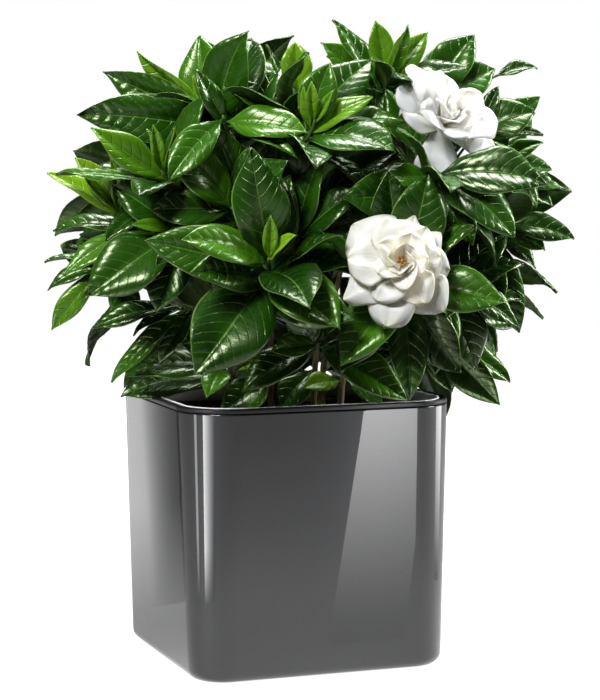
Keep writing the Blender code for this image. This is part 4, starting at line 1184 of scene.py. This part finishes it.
def add_chip(skin, x, y, draw):
    """A splinter of bark lying on the mix."""
    size = [draw.uniform(0.05, 0.26), draw.uniform(0.04, 0.12), draw.uniform(0.02, 0.06)]
    turn = Euler([draw.uniform(-0.5, 0.5), draw.uniform(-0.5, 0.5), draw.uniform(0, 6.3)]).to_matrix()
    place = Vector((x, y, soil_lie(x, y) + 0.02))
    rings = []
    for share in CHIP_SHARES:
        squeeze = 1.0 - 0.55 * abs(share) + draw.uniform(-0.1, 0.1)
        rings.append([
            place + turn @ Vector((size[0] * share, size[1] * squeeze * a, size[2] * squeeze * b))
            for a, b in CHIP_ROUND])
    skin.add(loft(rings), along=draw.random(), chip=1.0)


def soil_piece(finish):
    """The potting mix, level with the liner's walls, and the bark chips on it."""
    half = POT_TOP_HALF - RIM_WIDTH - SOIL_GAP
    corner = TOP_CORNER - RIM_WIDTH
    base_half = LINER_BASE_HALF - LINER_WALL - GAP
    rings = [
        rounded_square(base_half, LINER_BASE_CORNER - LINER_WALL, LINER_BASE + LINER_WALL + GAP),
        rounded_square(half, corner, POT_HEIGHT - RIM_BAND - RIM_SKIRT)]
    for step in range(SOIL_SPANS):
        share = 1 - step / SOIL_SPANS
        ring = rounded_square(half * share, corner * share, 0.0)
        for point in ring:
            point.z = soil_lie(point.x, point.y)
        rings.append(ring)
    skin = Skin()
    skin.add(loft(rings, Vector((0.0, 0.0, soil_lie(0.0, 0.0)))))
    draw = random.Random(5)
    for _ in range(CHIPS):
        reach = (half - 0.35) * 0.97
        add_chip(skin, draw.uniform(-reach, reach), draw.uniform(-reach, reach) * 0.97, draw)
    return skin.piece("potting_mix", [finish])


# Materials -------------------------------------------------------------------------------


class Finish:
    """A material in the making: its shader and short ways to add nodes."""

    def __init__(self, name):
        self.material = bpy.data.materials.new(name)
        self.material.use_nodes = True
        self.tree = self.material.node_tree
        self.shader = self.tree.nodes["Principled BSDF"]

    def set(self, **inputs):
        for key, value in inputs.items():
            self.plug(self.shader.inputs[key.replace("_", " ")], value)
        return self

    def plug(self, socket, value):
        if isinstance(value, bpy.types.NodeSocket):
            self.tree.links.new(value, socket)
        elif isinstance(value, tuple) and len(value) == 3 and socket.type == "RGBA":
            socket.default_value = (*value, 1.0)
        else:
            socket.default_value = value

    def node(self, kind, inputs, output, **settings):
        made = self.tree.nodes.new(kind)
        for key, value in settings.items():
            setattr(made, key, value)
        for key, value in inputs.items():
            self.plug(made.inputs[key], value)
        return made.outputs[output]

    def number(self, name):
        return self.node("ShaderNodeAttribute", {}, "Fac", attribute_name=name)

    def maths(self, operation, a, b=0.0, clamp=False):
        return self.node("ShaderNodeMath", {0: a, 1: b}, 0, operation=operation, use_clamp=clamp)

    def plus(self, a, b, clamp=False):
        return self.maths("ADD", a, b, clamp)

    def times(self, a, b):
        return self.maths("MULTIPLY", a, b)

    def between(self, value, low, high, start=0.0, stop=1.0):
        """value taken smoothly from low..high to start..stop."""
        inputs = {"Value": value, "From Min": low, "From Max": high, "To Min": start, "To Max": stop}
        return self.node("ShaderNodeMapRange", inputs, "Result", interpolation_type="SMOOTHSTEP")

    def mix(self, share, a, b, blend="MIX"):
        made = self.tree.nodes.new("ShaderNodeMix")
        made.data_type = "RGBA"
        made.blend_type = blend
        self.plug(made.inputs["Factor"], share)
        self.plug(made.inputs[6], a)
        self.plug(made.inputs[7], b)
        return made.outputs[2]

    def noise(self, scale, detail=3.0, roughness=0.5):
        where = self.node("ShaderNodeTexCoord", {}, "Object")
        inputs = {"Vector": where, "Scale": scale, "Detail": detail, "Roughness": roughness}
        return self.node("ShaderNodeTexNoise", inputs, "Fac")

    def bump(self, height, distance):
        return self.node("ShaderNodeBump", {"Height": height, "Distance": distance}, 0)


def leaf_finish():
    """Waxy green with a pale midrib and side ribs; young leaves yellow-green, undersides dull."""
    finish = Finish("leaf_green")
    across = finish.maths("ABSOLUTE", finish.number("across"))
    beat = finish.maths("PINGPONG", finish.number("rib"), 0.5)
    ribbed = finish.between(across, 0.7, 0.98, 1.0, 0.0)
    side_rib = finish.times(finish.between(beat, 0.0, 0.09, 1.0, 0.0), ribbed)
    midrib = finish.between(across, 0.0, 0.055, 1.0, 0.0)
    margin = finish.between(across, 0.945, 0.985)
    blotch = finish.noise(55.0, 4.0)
    cells = finish.noise(900.0, 2.0)

    spread = finish.times(finish.maths("SUBTRACT", blotch, 0.5), 1.4)
    share = finish.plus(
        finish.times(finish.number("tint"), 0.8), spread, clamp=True)
    old = finish.mix(share, (0.005, 0.029, 0.001), (0.020, 0.096, 0.002))
    middling = finish.mix(share, (0.026, 0.115, 0.002), (0.066, 0.215, 0.003))
    young = finish.mix(share, (0.13, 0.33, 0.008), (0.27, 0.46, 0.02))
    age = finish.number("age")
    grown = finish.mix(finish.between(age, 0.4, 0.95), middling, old)
    green = finish.mix(finish.between(age, 0.05, 0.5), young, grown)
    veined = finish.mix(finish.times(side_rib, 0.12), green, (0.12, 0.28, 0.03))
    veined = finish.mix(finish.times(midrib, 0.5), veined, (0.16, 0.34, 0.05))
    veined = finish.mix(finish.times(margin, 0.6), veined, (0.26, 0.42, 0.10))
    dull = finish.mix(share, (0.045, 0.10, 0.018), (0.075, 0.15, 0.028))
    ribs = finish.times(finish.plus(side_rib, midrib), 0.35)
    below = finish.mix(ribs, dull, (0.17, 0.27, 0.09))
    under = finish.number("under")

    sunk = finish.times(finish.plus(side_rib, midrib), 0.6)
    flip = finish.between(under, 0.0, 1.0, -1.0, 1.0)
    height = finish.plus(finish.times(sunk, flip), finish.times(cells, 0.2))
    gloss = finish.plus(
        finish.between(under, 0.0, 1.0, 0.21, 0.5), finish.times(blotch, 0.12))
    finish.set(Base_Color=finish.mix(under, veined, below), Roughness=gloss)
    finish.set(Normal=finish.bump(height, 0.0004), Coat_Weight=0.2, Coat_Roughness=0.17)
    finish.set(Specular_IOR_Level=0.55, Specular_Tint=(0.78, 1.0, 0.5))
    return finish.material


def twig_finish():
    finish = Finish("twig_green")
    patch = finish.maths("SUBTRACT", finish.noise(160.0), 0.5)
    share = finish.plus(finish.number("along"), patch, clamp=True)
    colour = finish.mix(share, (0.085, 0.06, 0.025), (0.09, 0.17, 0.035))
    finish.set(Base_Color=colour, Roughness=0.6, Normal=finish.bump(finish.noise(500.0), 0.0003))
    return finish.material


def bark_finish():
    finish = Finish("bark_brown")
    where = finish.node("ShaderNodeTexCoord", {}, "Object")
    long = finish.node("ShaderNodeMapping", {"Vector": where, "Scale": (1.0, 1.0, 0.16)}, 0)
    grain = finish.node("ShaderNodeTexNoise", {"Vector": long, "Scale": 700.0, "Detail": 5.0}, "Fac")
    patch = finish.noise(90.0)
    colour = finish.mix(finish.between(patch, 0.35, 0.7), (0.20, 0.15, 0.06), (0.40, 0.33, 0.15))
    colour = finish.mix(finish.between(grain, 0.5, 0.75, 0.0, 0.6), colour, (0.48, 0.42, 0.24))
    finish.set(Base_Color=colour, Roughness=0.8, Normal=finish.bump(grain, 0.0006))
    return finish.material


def petal_finish(name, body, shade, edge):
    """Soft waxy petals: body colour, a warmer throat and a tinged margin, finely veined."""
    finish = Finish(name)
    along, across = finish.number("along"), finish.number("across")
    away = finish.maths("ABSOLUTE", across)
    fan = finish.plus(finish.times(across, 42.0), finish.times(finish.noise(140.0), 6.0))
    fan = finish.maths("SINE", fan)
    rim = finish.maths("MAXIMUM", finish.between(away, 0.85, 1.0), finish.between(along, 0.84, 1.0))
    patch = finish.between(finish.noise(120.0, 4.0), 0.45, 0.75)
    colour = finish.mix(finish.between(along, 0.0, 0.55, 1.0, 0.0), body, shade)
    tinge = finish.plus(finish.times(patch, 0.65), 0.3)
    colour = finish.mix(finish.times(rim, tinge), colour, edge)
    height = finish.plus(finish.times(fan, 0.25), finish.noise(420.0, 2.0))
    finish.set(Base_Color=colour, Roughness=0.48, Normal=finish.bump(height, 0.00009))
    finish.set(Subsurface_Weight=0.5, Subsurface_Scale=0.004, Subsurface_Radius=(1.0, 0.85, 0.6))
    return finish.material


def calyx_finish():
    finish = Finish("calyx_green")
    colour = finish.mix(finish.number("along"), (0.10, 0.20, 0.03), (0.34, 0.42, 0.16))
    finish.set(Base_Color=colour, Roughness=0.45, Normal=finish.bump(finish.noise(600.0), 0.0002))
    return finish.material


def stamen_finish():
    finish = Finish("stamen_amber")
    colour = finish.mix(finish.number("along"), (0.50, 0.22, 0.04), (0.75, 0.55, 0.18))
    colour = finish.mix(finish.between(finish.noise(1200.0), 0.45, 0.75), colour, (0.26, 0.09, 0.015))
    finish.set(Base_Color=colour, Roughness=0.7, Normal=finish.bump(finish.noise(1600.0), 0.0002))
    return finish.material


def planter_finish():
    """Charcoal lacquer: a fine metal flake under a clear gloss."""
    finish = Finish("charcoal_lacquer")
    where = finish.node("ShaderNodeTexCoord", {}, "Object")
    flake = finish.node("ShaderNodeTexVoronoi", {"Vector": where, "Scale": 2600.0}, "Distance")
    colour = finish.mix(finish.between(flake, 0.2, 0.75), (0.024, 0.025, 0.027), (0.015, 0.016, 0.018))
    finish.set(Base_Color=colour, Metallic=0.5, Roughness=0.42, Specular_IOR_Level=0.15)
    finish.set(Coat_Weight=1.0, Coat_Roughness=0.02, Coat_IOR=1.6)
    return finish.material


def liner_finish():
    finish = Finish("liner_black")
    grain = finish.noise(1800.0, 3.0)
    black = finish.mix(grain, (0.003, 0.003, 0.0035), (0.007, 0.007, 0.008))
    # painted highlight: the bead round the inner edge is coloured near white to stand for the glint of
    # light along it; the rest of the liner is black
    finish.set(Base_Color=finish.mix(finish.number("bead"), black, (0.88, 0.88, 0.88)))
    finish.set(Roughness=finish.between(grain, 0.3, 0.7, 0.3, 0.42), Normal=finish.bump(grain, 0.00006))
    finish.set(Specular_IOR_Level=0.3)
    return finish.material


def soil_finish():
    finish = Finish("potting_mix")
    chip = finish.number("chip")
    fleck = finish.between(finish.noise(420.0, 5.0, 0.7), 0.52, 0.68)
    mould = finish.mix(fleck, (0.010, 0.006, 0.004), (0.075, 0.030, 0.014))
    bark = finish.mix(finish.number("along"), (0.045, 0.018, 0.009), (0.14, 0.062, 0.028))
    finish.set(Base_Color=finish.mix(chip, mould, bark), Roughness=0.93)
    finish.set(Normal=finish.bump(finish.noise(700.0, 6.0, 0.7), 0.0016))
    return finish.material


# Stage, lights and camera ----------------------------------------------------------------

VIEW_SIDE = -20.02  # degrees round the object, 0 looking along +Y
VIEW_RISE = 4.99
VIEW_DISTANCE = 1.348
VIEW_LENS = 113.46
VIEW_TARGET_HEIGHT = 0.1852
VIEW_TARGET_RIGHT = 0.0106


def view_axes():
    """Unit vectors to the viewer's right, up and back towards the viewer."""
    side, rise = math.radians(VIEW_SIDE), math.radians(VIEW_RISE)
    back = Vector((math.sin(side) * math.cos(rise), -math.cos(side) * math.cos(rise), math.sin(rise)))
    right = Vector((math.cos(side), math.sin(side), 0.0))
    return right, back.cross(right), back


def add_camera():
    right, up, back = view_axes()
    data = bpy.data.cameras.new("camera")
    data.lens = VIEW_LENS
    data.sensor_width = 36.0
    camera = bpy.data.objects.new("camera", data)
    bpy.context.scene.collection.objects.link(camera)
    target = Vector((0.0, 0.0, VIEW_TARGET_HEIGHT)) + right * VIEW_TARGET_RIGHT
    camera.matrix_world = Matrix.Translation(target + back * VIEW_DISTANCE) @ Matrix(
        (right, up, back)).transposed().to_4x4()
    bpy.context.scene.camera = camera


def floor_finish():
    """White to the camera; the object feels a dimmer floor, brightest near the planter."""
    finish = Finish("floor_white")
    watched = finish.node("ShaderNodeLightPath", {}, "Is Camera Ray")
    felt = finish.number("glow")
    seen = finish.times(watched, finish.maths("SUBTRACT", 0.95, felt))
    finish.set(Base_Color=(0.25, 0.25, 0.25), Roughness=0.9, Emission_Color=(1.0, 1.0, 1.0))
    finish.set(Emission_Strength=finish.plus(felt, seen))
    return finish.material


def add_mesh(name, points, faces, material):
    data = bpy.data.meshes.new(name)
    data.from_pydata(points, [], faces)
    data.materials.append(material)
    made = bpy.data.objects.new(name, data)
    bpy.context.scene.collection.objects.link(made)
    return made


FLOOR_RINGS = (0.02, 0.1, 0.2, 0.3, 0.4, 0.5, 0.65, 0.8, 1.0, 1.3, 1.8, 2.6)
FLOOR_SIDES = 96
FLOOR_GLOW = 0.12  # far from the planter
NEAR_GLOW = (0.55, 0.5)  # what is added near it, and how much more of that in front
NEAR_REACH = 0.38


def add_floor():
    """A pale round floor."""
    points, glow = [], []
    for radius in FLOOR_RINGS:
        for i in range(FLOOR_SIDES):
            angle = 2 * math.pi * i / FLOOR_SIDES
            points.append((radius * math.cos(angle), radius * math.sin(angle), 0.0))
            near = math.exp(-((radius / NEAR_REACH) ** 2))
            glow.append(FLOOR_GLOW + (NEAR_GLOW[0] - NEAR_GLOW[1] * math.sin(angle)) * near)
    faces = [tuple(range(FLOOR_SIDES))]
    for start in range(0, (len(FLOOR_RINGS) - 1) * FLOOR_SIDES, FLOOR_SIDES):
        for i in range(FLOOR_SIDES):
            a, b = start + i, start + (i + 1) % FLOOR_SIDES
            faces.append((a, a + FLOOR_SIDES, b + FLOOR_SIDES, b))
    floor = add_mesh("floor", points, faces, floor_finish())
    floor.visible_diffuse = False
    floor.data.attributes.new("glow", "FLOAT", "POINT").data.foreach_set("value", glow)


# Upright lit cards that the lacquer mirrors: foot and far foot (x, y), the top's shift in x
# there, height, ramps along and up, and brightness at the foot, far foot, top and far top.
# A ramp is a power and the share of the way by which it is full.
CARDS = {
    "window": (
        (0.019, -0.13), (0.071, -0.13), (0.022, 0.014), 0.158,
        (1, 1), (1.7, 1), (1.25, 1.25, 8.4, 6.8)),
    "stripe_right": (
        (0.30, -0.10), (0.30, -0.01), (0.0, 0.0), 0.15,
        (1, 1), (1.2, 0.9), (0.6, 0.6, 7.0, 7.0)),
    "stripe_left": (
        (-0.205, -0.21), (-0.255, -0.125), (0.0, 0.0), 0.155,
        (1.6, 1), (1, 0.25), (0.9, 1.3, 0.4, 14.0)),
    "stripe_far_left": (
        (-0.27, -0.072), (-0.27, -0.05), (0.0, 0.0), 0.155,
        (1, 1), (1, 0.3), (0.6, 0.6, 5.0, 5.0)),
    "back_left": (
        (-0.20, 0.125), (-0.088, 0.125), (0.0, 0.0), 0.158,
        (8, 0.8), (1, 0.45), (0.5, 0.7, 0.0, 1.4)),
}
CARD_STEPS = 20
CARD_FOOT = 0.003  # above the floor


def ramp(share, power, full):
    """A card's way from one brightness to the next."""
    return min(share / full, 1.0) ** power


def add_card(name, foot, far_foot, lean, top, along, upward, glows):
    finish = Finish("glow_" + name)
    finish.set(Base_Color=(0.0, 0.0, 0.0), Emission_Color=(1.0, 1.0, 1.0))
    finish.set(Emission_Strength=finish.number("glow"))
    points, glow = [], []
    for i in range(CARD_STEPS + 1):
        for j in range(CARD_STEPS + 1):
            up, out = i / CARD_STEPS, j / CARD_STEPS
            spot = Vector(foot).lerp(Vector(far_foot), out)
            shift = lean[0] + (lean[1] - lean[0]) * out
            points.append((spot.x + shift * up, spot.y, CARD_FOOT + (top - CARD_FOOT) * up))
            low = glows[0] + (glows[1] - glows[0]) * ramp(out, *along)
            high = glows[2] + (glows[3] - glows[2]) * ramp(out, *along)
            glow.append(low + (high - low) * ramp(up, *upward))
    grid = np.arange(len(points)).reshape(CARD_STEPS + 1, CARD_STEPS + 1)
    faces = np.stack((grid[:-1, :-1], grid[:-1, 1:], grid[1:, 1:], grid[1:, :-1]), -1)
    card = add_mesh("card_" + name, points, faces.reshape(-1, 4).tolist(), finish.material)
    card.data.attributes.new("glow", "FLOAT", "POINT").data.foreach_set("value", glow)
    card.visible_camera = False
    card.visible_diffuse = False
    card.visible_shadow = False


# Soft lights: place, what they face, width and height, and power
LIGHTS = {
    "key": ((-1.2, -0.9, 1.6), (0, 0, 0.25), (0.6, 0.6), 46),
    "overhead": ((0.2, 0.35, 1.6), (0, 0, 0.3), (0.9, 0.6), 36),
    "window_right": ((1.25, -0.35, 0.95), (0, 0, 0.25), (0.3, 0.8), 29),
}


def add_softbox(name, place, target, size, energy):
    data = bpy.data.lights.new(name, "AREA")
    data.shape = "RECTANGLE"
    data.size, data.size_y = size
    data.energy = energy
    light = bpy.data.objects.new(name, data)
    bpy.context.scene.collection.objects.link(light)
    light.location = place
    light.rotation_euler = (Vector(target) - Vector(place)).to_track_quat("-Z", "Y").to_euler()


def add_stage():
    add_floor()
    for name, card in CARDS.items():
        add_card(name, *card)
    for name, light in LIGHTS.items():
        add_softbox(name, *light)


SKY_LOW = 0.04
SKY_HIGH = 0.12


def add_world():
    """White to the camera; to the object, dim low down and brighter overhead."""
    world = bpy.data.worlds.new("studio")
    world.use_nodes = True
    tree = world.node_tree
    background = tree.nodes["Background"]
    direction = tree.nodes.new("ShaderNodeTexCoord")
    parts = tree.nodes.new("ShaderNodeSeparateXYZ")
    sky = tree.nodes.new("ShaderNodeMapRange")
    sky.inputs["To Min"].default_value = SKY_LOW
    sky.inputs["To Max"].default_value = SKY_HIGH
    tree.links.new(direction.outputs["Generated"], parts.inputs[0])
    tree.links.new(parts.outputs["Z"], sky.inputs["Value"])
    watched = tree.nodes.new("ShaderNodeLightPath")
    strength = tree.nodes.new("ShaderNodeMix")
    tree.links.new(watched.outputs["Is Camera Ray"], strength.inputs[0])
    tree.links.new(sky.outputs[0], strength.inputs[2])
    strength.inputs[3].default_value = 1.0
    tree.links.new(strength.outputs[0], background.inputs["Strength"])
    background.inputs["Color"].default_value = (1.0, 1.0, 1.0, 1.0)
    bpy.context.scene.world = world
    bpy.context.scene.view_settings.view_transform = "Standard"


# Pieces ----------------------------------------------------------------------------------


def stand_for(piece, slot, *nodes):
    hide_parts(*nodes)
    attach(piece, "root")


def make_pieces():
    finishes = {
        "leaf": leaf_finish(), "twig": twig_finish(), "bark": bark_finish(),
        "flower_front": petal_finish(
            "petal_cream", (0.97, 0.94, 0.82), (0.91, 0.86, 0.62), (0.68, 0.66, 0.34)),
        "flower_top": petal_finish(
            "petal_white", (0.89, 0.88, 0.84), (0.84, 0.82, 0.71), (0.80, 0.80, 0.68)),
    }
    stand_for(planter_piece(planter_finish()), "planter", "planter")
    stand_for(liner_piece(liner_finish()), "liner", "liner")
    stand_for(soil_piece(soil_finish()), "soil", "soil")
    routes, shoots, flowers, low = lay_out_plant()
    for number, route in enumerate(routes):
        stand_for(stem_piece(number, route, finishes["bark"]), "stem", "stem_%d" % (number + 1))
    for name, (route, leaves) in shoots.items():
        stand_for(shoot_piece(name, route, leaves, finishes), "leaf", "shoot_" + name)
    low_piece = leaves_skin("low_leaves", low).piece("low_leaves", [finishes["leaf"]], PLANT_TURN)
    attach(low_piece, "root")
    calyx, stamen = calyx_finish(), stamen_finish()
    for name, (end, axis) in flowers.items():
        stand_for(tube_piece(name, end, axis, calyx), "calyx", name + "_tube")
        for whorl, foot, radius, _ in flower_whorls(end, axis):
            piece = whorl_piece(name, whorl, end, axis, foot, radius, finishes[name])
            stand_for(piece, "petal", "%s_%s" % (name, whorl))
        stand_for(stamens_piece(name, end, axis, stamen), "stamen", name + "_stamens")


add_world()
add_camera()
add_stage()
make_pieces()
